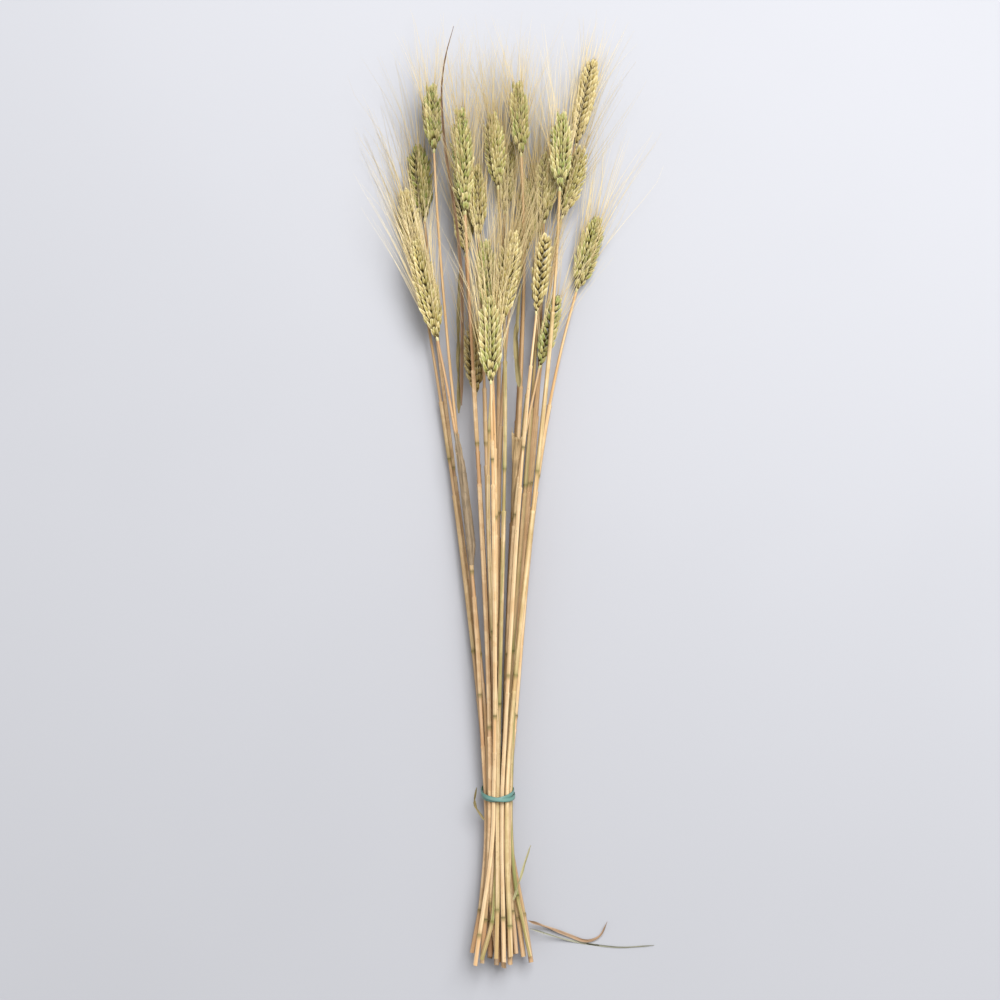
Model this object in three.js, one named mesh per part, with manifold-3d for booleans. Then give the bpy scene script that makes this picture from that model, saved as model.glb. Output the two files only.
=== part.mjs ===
// A tied bunch of dried bearded wheat, lying on a table. Millimetres, +Z up.
// The stalks run along +Y, with their cut ends at -Y and the ears and their long awns at +Y. One green rubber
// band, wound twice round, holds the stems near the cut ends. The origin is on the table under the middle of
// the bunch. Each stalk is a straw stem and an ear. Dried leaf blades and sheaths cling to some of the stems.

import * as THREE from "three";
import { mergeVertices } from "three/addons/utils/BufferGeometryUtils.js";
import Module from "manifold-3d";

const wasm = await Module();
wasm.setup();

// ---------------------------------------------------------------- driving dimensions

const SLICE = 8; // spacing along Y of the slices in which the stalks are settled
const GAP = 0.45; // clear space kept between neighbours while they settle
const TIE_Y = 140; // from the lowest cut end to the rubber band
const TIE_HALF_WIDTH = 12; // the bundle of stems inside the band
const TIE_HALF_HEIGHT = 11.4;
const TIE_Z = 17; // the bundle's middle above the table, at the band
const TIE_REACH = 14; // how far from the band along Y the stems stay pinched
const CUT_HALF_WIDTH = 22; // the splayed cut ends
const CUT_HALF_HEIGHT = 14;
const CUT_TURN = 0.5; // the splay's turn about the band, in radians
const STEM_RADIUS = { cut: 1.95, ear: 1.0 };
const STEM_SIDES = 5;
const KNOT_HALF_LENGTH = 2.6;
const KNOT_SWELL = 1.2;
const EAR_RADIUS = 6.9;
const EAR_FLATNESS = 0.82; // thickness of an ear against its width
const EAR_SIDES = 7;
const EAR_TIERS = 5; // steps of overlapping husks that the body shows
const JOINT_GAP = 0.3; // between a stem's top and its ear
const AWN_RADIUS = { root: 0.55, tip: 0.22 };
const AWN_LENGTH = { least: 82, most: 108 };
const AWNS_PER_EAR = 6;
const AWN_SPANS = 2; // straight spans in which an awn bends
const AWN_TOP_Y = 767; // no awn reaches past this
const AWN_SIDE_X = 118; // nor past this on either side
const AWN_CLEARANCE = 0.7;
const AWN_TRIES = 60;
const SETTLE_ROUNDS = 500;

// Each stalk: where its ear starts and ends, seen from above (x, y), how high the ear's middle lies, and the
// turn of its broad face about its own length in degrees. A stalk that breaks at a knot near its cut end also
// has that knot's place along Y and how far the last piece swings sideways.
const STALKS = [
  { base: [-51, 653], tip: [-53.5, 709], high: 28, roll: 10 },
  { base: [-59, 600], tip: [-65, 663], high: 7, roll: 60 },
  { base: [-63, 556], tip: [-76, 627], high: 9, roll: 25 },
  { base: [-48, 503], tip: [-66, 585], high: 27, roll: -15, knot: 46, swing: -5 },
  { base: [-26, 602], tip: [-30, 688], high: 46, roll: 20 },
  { base: [-25, 571], tip: [-29, 633], high: 20, roll: 70 },
  { base: [0, 623], tip: [-5, 686], high: 37, roll: 35, knot: 38, swing: -9 },
  { base: [18, 650], tip: [15, 711], high: 27, roll: 5 },
  { base: [62, 660], tip: [77, 731], high: 10, roll: 80 },
  { base: [49, 621], tip: [51, 685], high: 43, roll: 0 },
  { base: [51, 601], tip: [68, 660], high: 22, roll: 40, knot: 58, swing: 6 },
  { base: [32, 588], tip: [28, 648], high: 7, roll: 15 },
  { base: [37, 597], tip: [40, 655], high: 25, roll: 55 },
  { base: [63, 543], tip: [81, 605], high: 10, roll: -30 },
  { base: [30.5, 523], tip: [38, 588], high: 45, roll: 90 },
  { base: [32.5, 481], tip: [47.5, 540], high: 28, roll: 85 },
  { base: [-6.5, 519], tip: [-10.5, 584], high: 35, roll: 0, knot: 52, swing: 8 },
  { base: [1, 512], tip: [13, 590], high: 50, roll: 30 },
  { base: [-5.5, 467], tip: [-7, 538], high: 62, roll: 0 },
  { base: [-18, 459], tip: [-20, 519], high: 20, roll: 50 },
  { base: [11.5, 534], tip: [19.5, 594], high: 24, roll: 95 },
  { base: [22.5, 574], tip: [26, 634], high: 14, roll: 20 },
  { base: [5.5, 606], tip: [9, 665], high: 8, roll: 10, knot: 30, swing: -6 },
  { base: [-16, 585], tip: [-18, 645], high: 27, roll: 0 },
];

// Each sheath: the lower part of a leaf, wrapped round a stem between two heights and open on its underside.
const SHEATHS = [
  { name: "sheath_left", stalk: 3, from: 324, to: 430 },
  { name: "sheath_right", stalk: 7, from: 366, to: 432 },
];
const SHEATH = { clearance: 0.3, thickness: 0.45, wrap: 220, arcs: 5, rows: 6 };

// Each leaf: points along its middle (x, y, z), from where it leaves its stem to its tip, with its width there.
// Those marked bundled run among the stalks and settle with them. The others start beside a stem, at a step
// (x, z) from its middle, and the rest of their points are placed as they stand.
const LEAVES = [
  {
    name: "leaf_long_brown_blade",
    bundled: true,
    route: [[-29, 450, 30], [-29, 552, 38], [-36, 617, 42], [-42, 656, 44], [-44, 712, 46], [-35, 752, 48]],
    width: [2.6, 2.4, 1.2],
  },
  {
    name: "leaf_olive_blade_right",
    bundled: true,
    route: [[17, 464, 49], [15, 486, 51], [14.5, 508, 53], [18, 548, 55]],
    width: [4.4, 4.2, 1.4],
  },
  {
    name: "leaf_olive_blade_left",
    bundled: true,
    route: [[-31.5, 444, 24], [-31.5, 480, 26], [-32, 512, 27], [-30.5, 566, 30]],
    width: [3.2, 3.4, 1.2],
  },
  {
    name: "leaf_strip_at_cut_end",
    stalk: 9,
    step: [3.8, 1.6],
    route: [[0, 56, 0], [19, 78, 32], [26, 101, 36]],
    width: [1.8, 2.2, 1],
  },
  {
    name: "leaf_scrap_at_band",
    stalk: 0,
    step: [-3.2, 0.5],
    route: [[0, 119, 0], [-18.5, 132, 20], [-17, 146, 26]],
    width: [1.6, 2.4, 1.2],
  },
  {
    name: "leaf_trailing_brown",
    stalk: 8,
    step: [3, 0.6],
    route: [[0, 38, 0], [38, 32, 5], [54, 26, 2.6], [72, 20, 1.6], [82, 24, 2.2], [88, 36, 5]],
    width: [2.4, 2.8, 1.2],
  },
  {
    name: "leaf_trailing_grey",
    stalk: 8,
    step: [2.9, -1.6],
    route: [[0, 31.5, 0], [60, 20, 1.6], [98, 15, 1.3], [126, 16.5, 1.2]],
    width: [1.4, 1.6, 1],
  },
];
const LEAF_THICKNESS = 0.5;

const BAND = {
  width: 2.3, // one strand, along Y
  thickness: 0.75,
  apart: 1.7, // each strand's furthest shift along Y from the middle of the two
  lift: 0.6, // and out from the stems, where one strand crosses the other
  tilt: 0.34, // the loop leans: its top lies this share of its height towards the cut ends
  steps: 48,
  section: 5,
};

const LOOK = {
  straw: new THREE.MeshStandardMaterial({ color: 0xdcc08a, roughness: 0.55, metalness: 0 }),
  ear: new THREE.MeshStandardMaterial({ color: 0xc9bd80, roughness: 0.8, metalness: 0 }),
  leaf: new THREE.MeshStandardMaterial({ color: 0x8f7a4c, roughness: 0.85, metalness: 0 }),
  rubber: new THREE.MeshStandardMaterial({ color: 0x5fae9b, roughness: 0.5, metalness: 0 }),
};

// ---------------------------------------------------------------- small tools

// A repeatable stream of numbers from 0 to 1.
function numbers(seed) {
  let state = seed;
  return () => {
    state = (state + 0x6d2b79f5) | 0;
    let t = Math.imul(state ^ (state >>> 15), 1 | state);
    t = (t + Math.imul(t ^ (t >>> 7), 61 | t)) ^ t;
    return ((t ^ (t >>> 14)) >>> 0) / 4294967296;
  };
}

const between = (random, low, high) => low + (high - low) * random();
const mix = THREE.MathUtils.lerp;

// The value at y of a smooth curve through [y, value] pairs, straight beyond its ends.
function through(pairs, slopes, y) {
  let i = 0;
  while (i < pairs.length - 2 && y > pairs[i + 1][0]) i++;
  const [[y0, a], [y1, b]] = [pairs[i], pairs[i + 1]];
  if (y <= pairs[0][0]) return pairs[0][1] + slopes[0] * (y - pairs[0][0]);
  if (y >= pairs.at(-1)[0]) return pairs.at(-1)[1] + slopes.at(-1) * (y - pairs.at(-1)[0]);
  const h = y1 - y0;
  const t = (y - y0) / h;
  const hermite = (2 * t ** 3 - 3 * t ** 2 + 1) * a + (3 * t ** 2 - 2 * t ** 3) * b;
  return hermite + h * ((t ** 3 - 2 * t ** 2 + t) * slopes[i] + (t ** 3 - t ** 2) * slopes[i + 1]);
}

// Moves each vertex of a geometry to place(vertex), and leaves positions only.
function remap(geometry, place) {
  const position = geometry.getAttribute("position");
  const v = new THREE.Vector3();
  for (let i = 0; i < position.count; i++) {
    v.fromBufferAttribute(position, i);
    const p = place(v, i);
    position.setXYZ(i, p.x, p.y, p.z);
  }
  geometry.deleteAttribute("normal");
  geometry.deleteAttribute("uv");
  return mergeVertices(geometry, 1e-4);
}

// Bends a geometry that stands along Y onto a line: its y becomes the line's own y, and its x and z are set off
// square to the line.
function alongLine(geometry, pointAt) {
  const step = 0.5;
  return remap(geometry, (v) => {
    const middle = pointAt(v.y);
    const tangent = pointAt(v.y + step).sub(pointAt(v.y - step)).normalize();
    const side = new THREE.Vector3(1, 0, 0).addScaledVector(tangent, -tangent.x).normalize();
    const up = new THREE.Vector3().crossVectors(side, tangent);
    return middle.addScaledVector(side, v.x).addScaledVector(up, v.z);
  });
}

// A solid of revolution about Y from [radius, y] rows, closed with a flat or pointed end on the axis.
function turned(rows, sides) {
  const first = rows[0];
  const last = rows.at(-1);
  const outline = [[0, first[1]], ...rows, [0, last[1]]].filter((p, i, all) => {
    const next = all[i + 1];
    return !next || p[0] !== next[0] || p[1] !== next[1];
  });
  return new THREE.LatheGeometry(outline.map(([r, y]) => new THREE.Vector2(r, y)), sides);
}

function solidOf(geometry) {
  const merged = mergeVertices(geometry, 1e-4);
  return new wasm.Manifold(
    new wasm.Mesh({
      numProp: 3,
      vertProperties: merged.getAttribute("position").array,
      triVerts: new Uint32Array(merged.index.array),
    }),
  );
}

function geometryOf(solid) {
  const mesh = solid.getMesh();
  const geometry = new THREE.BufferGeometry();
  geometry.setAttribute("position", new THREE.BufferAttribute(Float32Array.from(mesh.vertProperties), 3));
  geometry.setIndex(new THREE.BufferAttribute(Uint32Array.from(mesh.triVerts), 1));
  return geometry;
}

// ---------------------------------------------------------------- strands: everything that runs along Y

// A strand has a middle line, given as x and z in each slice from first to last, and a radius at each y.
function makeStrand(name, from, to, targetX, targetZ, radiusAt) {
  const first = Math.ceil(from / SLICE);
  const last = Math.floor(to / SLICE);
  const strand = { name, from, to, first, last, radiusAt, target: [], shift: [] };
  for (let k = first; k <= last; k++) {
    strand.target.push([targetX(k * SLICE), targetZ(k * SLICE)]);
    strand.shift.push([0, 0]);
  }
  return strand;
}

const placeIn = (strand, k) => {
  const i = k - strand.first;
  return [0, 1].map((a) => strand.target[i][a] + strand.shift[i][a]);
};

// The strand's middle at any y: smooth between slices, straight beyond the first and last.
function middleOf(strand, y) {
  const count = strand.last - strand.first;
  const s = THREE.MathUtils.clamp(y / SLICE - strand.first, 0, count);
  const i = Math.min(Math.floor(s), count - 1);
  const [before, here, next, after] = [-1, 0, 1, 2].map((d) =>
    placeIn(strand, strand.first + THREE.MathUtils.clamp(i + d, 0, count)),
  );
  const t = s - i;
  const beyond = y / SLICE - strand.first - s;
  const [x, z] = [0, 1].map((a) => {
    const rise = [(next[a] - before[a]) / 2, (after[a] - here[a]) / 2];
    const smooth =
      (2 * t ** 3 - 3 * t ** 2 + 1) * here[a] +
      (3 * t ** 2 - 2 * t ** 3) * next[a] +
      (t ** 3 - 2 * t ** 2 + t) * rise[0] +
      (t ** 3 - t ** 2) * rise[1];
    return smooth + beyond * (next[a] - here[a]);
  });
  return new THREE.Vector3(x, y, z);
}

function stalkStrand(stalk, number) {
  const random = numbers(100 + number);
  const [baseX, baseY] = stalk.base;
  const [tipX, tipY] = stalk.tip;
  const girth = between(random, 0.88, 1.08);
  const cutY = between(random, 0, 13);
  const reach = (baseX / 80) * 0.85;
  const height = THREE.MathUtils.clamp((stalk.high - 30) / 34, -1, 1);
  const tie = [TIE_HALF_WIDTH * reach * 0.9, TIE_Z + TIE_HALF_HEIGHT * height * 0.8];
  // The cut ends splay as the ears do, turned a little about the band.
  const [cosine, sine] = [Math.cos(CUT_TURN), Math.sin(CUT_TURN)];
  const spread = [reach * cosine - height * sine, height * cosine + reach * sine];
  const cut = [
    CUT_HALF_WIDTH * spread[0] * 1.1 + between(random, -5, 5),
    Math.max(2.2, TIE_Z + CUT_HALF_HEIGHT * spread[1] + between(random, -3, 3)),
  ];
  const lean = (tipX - baseX) / (tipY - baseY);
  const run = baseY - TIE_Y;
  const xPairs = [[cutY, cut[0]], [TIE_Y, tie[0]], [baseY, baseX]];
  const xSlopes = [(tie[0] - cut[0]) / TIE_Y, ((baseX - tie[0]) / run) * 0.7, lean];
  const zPairs = [[cutY, cut[1]], [TIE_Y, tie[1]], [baseY, stalk.high]];
  const zSlopes = [(tie[1] - cut[1]) / TIE_Y, ((stalk.high - tie[1]) / run) * 1.1, 0];
  const swung = (y) => (stalk.knot && y < stalk.knot ? stalk.swing * (1 - y / stalk.knot) : 0);
  const sheath = SHEATHS.find((one) => one.stalk === number);
  const inSheath = (y) => sheath && y > sheath.from - SLICE && y < sheath.to + SLICE;
  const knots = [
    stalk.knot ?? between(random, 22, 62),
    between(random, 190, 280),
    sheath ? sheath.from - 6 : Math.min(between(random, 360, 430), baseY - 60),
  ];
  const stemRadius = (y) => mix(STEM_RADIUS.cut, STEM_RADIUS.ear, (y / baseY) ** 1.15) * girth;
  const straw = (y) =>
    stemRadius(y) * (knots.some((k) => Math.abs(k - y) < 6) ? KNOT_SWELL : 1) +
    (inSheath(y) ? SHEATH.clearance + SHEATH.thickness : 0);
  const earRadius = (y) => {
    const t = THREE.MathUtils.clamp((y - baseY) / (tipY - baseY), 0, 1);
    return Math.max(1.2, EAR_RADIUS * earOutline(t));
  };
  const strand = makeStrand(
    "stalk " + number,
    cutY,
    tipY,
    (y) => through(xPairs, xSlopes, y) + swung(y),
    (y) => Math.max(through(zPairs, zSlopes, y), 2.2),
    (y) => (y < baseY ? straw(y) : earRadius(y)),
  );
  return Object.assign(strand, { stalk, number, baseY, tipY, cutY, knots, stemRadius });
}

// An ear's half-width from its base, 0, to its tip, 1, as a share of the widest.
function earOutline(t) {
  return Math.min(1, 0.28 + 3.6 * t) * Math.min(1, (1.0 - t) * 2.4 + 0.25) * (1 - 0.12 * t);
}

function leafStrand(leaf) {
  const line = new THREE.CatmullRomCurve3(leaf.route.map((p) => new THREE.Vector3(...p)), false, "centripetal");
  const samples = line.getPoints(200);
  const near = (y) => samples.reduce((a, b) => (Math.abs(b.y - y) < Math.abs(a.y - y) ? b : a));
  const radius = Math.max(...leaf.width) / 2 + LEAF_THICKNESS / 2;
  const strand = makeStrand(
    leaf.name,
    leaf.route[0][1],
    leaf.route.at(-1)[1],
    (y) => near(y).x,
    (y) => near(y).z,
    () => radius,
  );
  return Object.assign(strand, { leaf });
}

// Pushes apart the strands that meet in a slice. In the loose part they give way upwards and downwards first.
function partNeighbours(strands, k) {
  const here = strands.filter((s) => s.first <= k && k <= s.last);
  const sideways = k * SLICE > TIE_Y + 60 ? 0.45 : 1;
  for (let i = 0; i < here.length; i++) {
    for (let j = i + 1; j < here.length; j++) {
      const [a, b] = [placeIn(here[i], k), placeIn(here[j], k)];
      const [dx, dz] = [b[0] - a[0] || 1e-3, b[1] - a[1] || 1e-3];
      const apart = Math.hypot(dx, dz);
      const wanted = here[i].radiusAt(k * SLICE) + here[j].radiusAt(k * SLICE) + GAP;
      if (apart >= wanted) continue;
      const push = [(dx / apart) * sideways, dz / apart];
      const along = (push[0] * dx + push[1] * dz) / apart;
      const share = (wanted - apart) / 2 / Math.max(along, 0.3);
      [0, 1].forEach((axis) => {
        here[i].shift[k - here[i].first][axis] -= push[axis] * share;
        here[j].shift[k - here[j].first][axis] += push[axis] * share;
      });
    }
  }
}

// Keeps a strand on or above the table, and inside the band where it is pinched.
function holdStrand(strand) {
  for (let k = strand.first; k <= strand.last; k++) {
    const y = k * SLICE;
    const shift = strand.shift[k - strand.first];
    const radius = strand.radiusAt(y);
    const [x, z] = placeIn(strand, k);
    if (Math.abs(y - TIE_Y) <= TIE_REACH) {
      const out = Math.hypot(x / (TIE_HALF_WIDTH - radius), (z - TIE_Z) / (TIE_HALF_HEIGHT - radius));
      if (out > 1) {
        shift[0] -= x * (1 - 1 / out);
        shift[1] -= (z - TIE_Z) * (1 - 1 / out);
      }
    }
    if (z < radius) shift[1] += radius - z;
  }
}

// Spreads each shift to its neighbours along the strand, so that it stays a smooth line.
function smoothStrand(strand, share) {
  [0, 1].forEach((axis) => {
    const old = strand.shift.map((s) => s[axis]);
    strand.shift.forEach((s, i) => {
      const before = old[Math.max(i - 1, 0)];
      const after = old[Math.min(i + 1, old.length - 1)];
      s[axis] = mix(old[i], (before + after) / 2, share);
    });
  });
}

// An ear is stiff: the slices through it move as one straight piece, and the stem's last slices lead into it.
function straightenEar(strand) {
  if (!strand.stalk) return;
  const from = Math.floor(strand.baseY / SLICE) - strand.first;
  [0, 1].forEach((axis) => {
    const part = strand.shift.slice(from).map((s) => s[axis]);
    const mean = part.reduce((a, b) => a + b, 0) / part.length;
    const centre = (part.length - 1) / 2;
    const spread = part.reduce((sum, _, i) => sum + (i - centre) ** 2, 0);
    const slope = part.reduce((sum, v, i) => sum + (i - centre) * v, 0) / spread;
    part.forEach((_, i) => {
      strand.shift[from + i][axis] = mean + slope * (i - centre);
    });
  });
}

function settle(strands) {
  const lastSlice = Math.max(...strands.map((s) => s.last));
  for (let round = 0; round < SETTLE_ROUNDS; round++) {
    const calm = 1 - round / SETTLE_ROUNDS;
    strands.forEach((s) => smoothStrand(s, 0.1 + 0.7 * calm ** 2));
    strands.forEach(straightenEar);
    for (let k = 0; k <= lastSlice; k++) partNeighbours(strands, k);
    strands.forEach(holdStrand);
  }
}

// ---------------------------------------------------------------- stems, ears and awns

function stemGeometry(strand) {
  const top = strand.baseY - JOINT_GAP;
  const stations = [strand.cutY, top];
  for (let y = 40; y < top - 20; y += y < 200 ? 25 : 50) {
    if (strand.knots.every((k) => Math.abs(k - y) > 9)) stations.push(y);
  }
  const rows = stations.map((y) => [strand.stemRadius(y), y]);
  strand.knots.forEach((k) => {
    rows.push([strand.stemRadius(k), k - KNOT_HALF_LENGTH], [strand.stemRadius(k) * KNOT_SWELL, k]);
    rows.push([strand.stemRadius(k), k + KNOT_HALF_LENGTH]);
  });
  rows.sort((a, b) => a[1] - b[1]);
  return alongLine(turned(rows, STEM_SIDES), (y) => middleOf(strand, y));
}

// The ear's straight middle line, and the directions of its broad side and of its thickness.
function earFrame(strand) {
  const base = middleOf(strand, strand.baseY);
  const along = middleOf(strand, strand.tipY).sub(base);
  const length = along.length();
  along.normalize();
  const side = new THREE.Vector3(1, 0, 0).addScaledVector(along, -along.x).normalize();
  side.applyAxisAngle(along, THREE.MathUtils.degToRad(strand.stalk.roll));
  return { base, along, length, side, up: new THREE.Vector3().crossVectors(side, along) };
}

// The body of an ear: tiers of husks, each flaring to a rim, on an oval section.
function earBody(frame) {
  const rows = [[1.3, 0]];
  for (let tier = 0; tier < EAR_TIERS; tier++) {
    const rim = (tier + 1) / (EAR_TIERS + 0.35);
    const wide = EAR_RADIUS * earOutline(rim - 0.06);
    rows.push([wide, (rim - 0.03) * frame.length], [wide * 0.72, (rim + 0.02) * frame.length]);
  }
  rows.push([0, frame.length]);
  const body = turned(rows, EAR_SIDES);
  return remap(body, (v) =>
    frame.base
      .clone()
      .addScaledVector(frame.along, v.y)
      .addScaledVector(frame.side, v.x)
      .addScaledVector(frame.up, v.z * EAR_FLATNESS),
  );
}

// A point is clear of every strand but its own, and of the awns already placed, by at least a margin.
function isClear(p, own, strands, awns) {
  if (p.z < 1.2 || Math.abs(p.x) > AWN_SIDE_X) return false;
  const blocked = strands.some((s) => {
    if (s === own || p.y < s.from - 3 || p.y > s.to + 3) return false;
    const middle = middleOf(s, THREE.MathUtils.clamp(p.y, s.from, s.to));
    return Math.hypot(p.x - middle.x, p.z - middle.z) < s.radiusAt(p.y) + AWN_RADIUS.root + AWN_CLEARANCE;
  });
  return !blocked && !awns.some((a) => distanceTo(a, p) < 2 * AWN_RADIUS.root + AWN_CLEARANCE);
}

function distanceTo(points, p) {
  let least = Infinity;
  for (let i = 1; i < points.length; i++) {
    const near = new THREE.Line3(points[i - 1], points[i]).closestPointToPoint(p, true, new THREE.Vector3());
    least = Math.min(least, near.distanceTo(p));
  }
  return least;
}

// The line of one awn: it leaves the ear's side, and bends outwards a little along its length.
function awnLine(frame, around, height, flare, wanted, share) {
  const out = frame.side.clone().multiplyScalar(Math.cos(around)).addScaledVector(frame.up, Math.sin(around));
  const root = frame.base.clone().addScaledVector(frame.along, height * frame.length);
  root.addScaledVector(out, EAR_RADIUS * earOutline(height) * EAR_FLATNESS * 0.5);
  const length = Math.min(wanted, (AWN_TOP_Y - root.y) * share);
  return [0, 0.45, 1].map((t) => {
    const outwards = Math.tan(flare) * (0.75 * t + 0.25 * t * t);
    return root.clone().addScaledVector(frame.along, t * length).addScaledVector(out, outwards * length);
  });
}

function awnSolid(points) {
  const awn = new THREE.CylinderGeometry(AWN_RADIUS.tip, AWN_RADIUS.root, 1, 3, AWN_SPANS);
  return solidOf(
    remap(awn, (v) => {
      const i = Math.round((v.y + 0.5) * AWN_SPANS);
      const ends = [points[Math.max(i - 1, 0)], points[Math.min(i + 1, AWN_SPANS)]];
      const tangent = ends[1].clone().sub(ends[0]).normalize();
      const side = new THREE.Vector3(1, 0, 0).addScaledVector(tangent, -tangent.x).normalize();
      const up = new THREE.Vector3().crossVectors(side, tangent);
      return points[i].clone().addScaledVector(side, v.x).addScaledVector(up, v.z);
    }),
  );
}

// Every ear's awns: each goes round the ear in turn, and takes the first of several tries that meets nothing.
function placeAwns(strands) {
  const placed = [];
  const byEar = new Map();
  const steps = Array.from({ length: 20 }, (_, i) => (i + 1) / 20);
  for (let turn = 0; turn < AWNS_PER_EAR; turn++) {
    for (const strand of strands.filter((s) => s.stalk)) {
      const random = numbers(5000 + strand.number * 50 + turn);
      const frame = earFrame(strand);
      for (let attempt = 0; attempt < AWN_TRIES; attempt++) {
        const around = ((turn + between(random, -0.4, 0.4)) / AWNS_PER_EAR) * 2 * Math.PI + strand.number;
        const height = between(random, 0.45, 0.93);
        const flare = THREE.MathUtils.degToRad(between(random, 4, 24));
        const length = between(random, AWN_LENGTH.least, AWN_LENGTH.most);
        const line = awnLine(frame, around, height, flare, length, between(random, 0.78, 1));
        const samples = line.slice(1).flatMap((p, i) => steps.map((t) => line[i].clone().lerp(p, t)));
        if (!samples.every((p) => isClear(p, strand, strands, placed))) continue;
        placed.push(line);
        byEar.set(strand, [...(byEar.get(strand) ?? []), line]);
        break;
      }
    }
  }
  return byEar;
}

function earGeometry(strand, awns) {
  const body = solidOf(earBody(earFrame(strand)));
  return geometryOf(awns.reduce((solid, line) => solid.add(awnSolid(line)), body));
}

// ---------------------------------------------------------------- leaves and the band

// A dried leaf: a narrow strip that follows its line, tapers, and twists as it goes.
function leafGeometry(leaf, lineAt, steps) {
  const strip = new THREE.BoxGeometry(1, 1, LEAF_THICKNESS, 1, steps, 1);
  return remap(strip, (v) => {
    const t = v.y + 0.5;
    const place = t * (leaf.width.length - 1);
    const i = Math.min(Math.floor(place), leaf.width.length - 2);
    const width = mix(leaf.width[i], leaf.width[i + 1], place - i);
    const tangent = lineAt(Math.min(t + 0.02, 1)).sub(lineAt(Math.max(t - 0.02, 0))).normalize();
    const side = new THREE.Vector3().crossVectors(tangent, new THREE.Vector3(0, 0, 1)).normalize();
    const up = new THREE.Vector3().crossVectors(side, tangent);
    return lineAt(t).addScaledVector(side, v.x * width).addScaledVector(up, v.z);
  });
}

function bundledLeaf(strand) {
  const inset = 1;
  return leafGeometry(
    strand.leaf,
    (t) => middleOf(strand, mix(strand.from + inset, strand.to - inset, t)),
    Math.max(4, Math.round((strand.to - strand.from) / 24)),
  );
}

function looseLeaf(leaf, strand) {
  const start = middleOf(strand, leaf.route[0][1]).add(new THREE.Vector3(leaf.step[0], 0, leaf.step[1]));
  const rest = leaf.route.slice(1).map((p) => new THREE.Vector3(...p));
  const line = new THREE.CatmullRomCurve3([start, ...rest], false, "centripetal");
  return leafGeometry(leaf, (t) => line.getPoint(t), 3 * leaf.route.length);
}

// A sheath: a curved sheet that stands a little off its stem and goes most of the way round it.
function sheathGeometry(sheath, strand) {
  const sheet = new THREE.BoxGeometry(1, 1, 1, SHEATH.arcs, SHEATH.rows, 1);
  const standing = remap(sheet, (v) => {
    const y = mix(sheath.from, sheath.to, v.y + 0.5);
    const angle = THREE.MathUtils.degToRad(90 - v.x * SHEATH.wrap);
    const facets = 1 / Math.cos(Math.PI / STEM_SIDES);
    const inside = strand.stemRadius(y) * facets * 0.86 + SHEATH.clearance;
    const radius = inside + SHEATH.thickness * (v.z + 0.5);
    return new THREE.Vector3(radius * Math.cos(angle), y, radius * Math.sin(angle));
  });
  return alongLine(standing, (y) => middleOf(strand, y));
}

// One rubber ring wound twice: the strand swings along Y and in and out once in its two turns, so that it lies
// beside itself and crosses over itself once.
function bandGeometry() {
  const ring = new THREE.TorusGeometry(10, 1, BAND.section, BAND.steps);
  const inner = 0.2 + BAND.lift + BAND.thickness / 2;
  return remap(ring, (v, index) => {
    const step = index % (BAND.steps + 1);
    const corner = Math.floor(index / (BAND.steps + 1));
    const half = ((step % BAND.steps) / BAND.steps) * 2 * Math.PI;
    const turn = 2 * half + Math.PI / 2;
    const round = (corner / BAND.section) * 2 * Math.PI;
    const out = inner + BAND.lift * Math.cos(half) + (BAND.thickness / 2) * Math.cos(round) * 1.15;
    const z = (TIE_HALF_HEIGHT + out) * Math.sin(turn);
    const along = BAND.apart * Math.sin(half) - (BAND.width / 2) * Math.sin(round) * 1.15;
    return new THREE.Vector3((TIE_HALF_WIDTH + out) * Math.cos(turn), TIE_Y + along - BAND.tilt * z, TIE_Z + z);
  });
}

// ---------------------------------------------------------------- the bunch

const bunch = new THREE.Group();

function add(name, geometry, look) {
  const mesh = new THREE.Mesh(geometry, look);
  mesh.name = name;
  bunch.add(mesh);
}

const strands = [...STALKS.map(stalkStrand), ...LEAVES.filter((l) => l.bundled).map(leafStrand)];
settle(strands);
const awns = placeAwns(strands);

for (const strand of strands) {
  if (strand.leaf) {
    add(strand.name, bundledLeaf(strand), LOOK.leaf);
    continue;
  }
  const label = String(strand.number + 1).padStart(2, "0");
  add("stem_" + label, stemGeometry(strand), LOOK.straw);
  add("ear_" + label, earGeometry(strand, awns.get(strand) ?? []), LOOK.ear);
}
for (const sheath of SHEATHS) add(sheath.name, sheathGeometry(sheath, strands[sheath.stalk]), LOOK.leaf);
for (const leaf of LEAVES.filter((l) => !l.bundled)) {
  add(leaf.name, looseLeaf(leaf, strands[leaf.stalk]), LOOK.leaf);
}
add("rubber_band", bandGeometry(), LOOK.rubber);

const box = new THREE.Box3().setFromObject(bunch);
const middle = box.getCenter(new THREE.Vector3());
bunch.position.set(-middle.x, -middle.y, -box.min.z);

export default bunch;
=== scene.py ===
"""Looks for a tied bunch of dried bearded wheat that lies on a table: straw stems with knots, ears of husks
and long awns, withered leaves, and a rubber band wound twice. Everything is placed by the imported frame."""

import math

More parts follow.
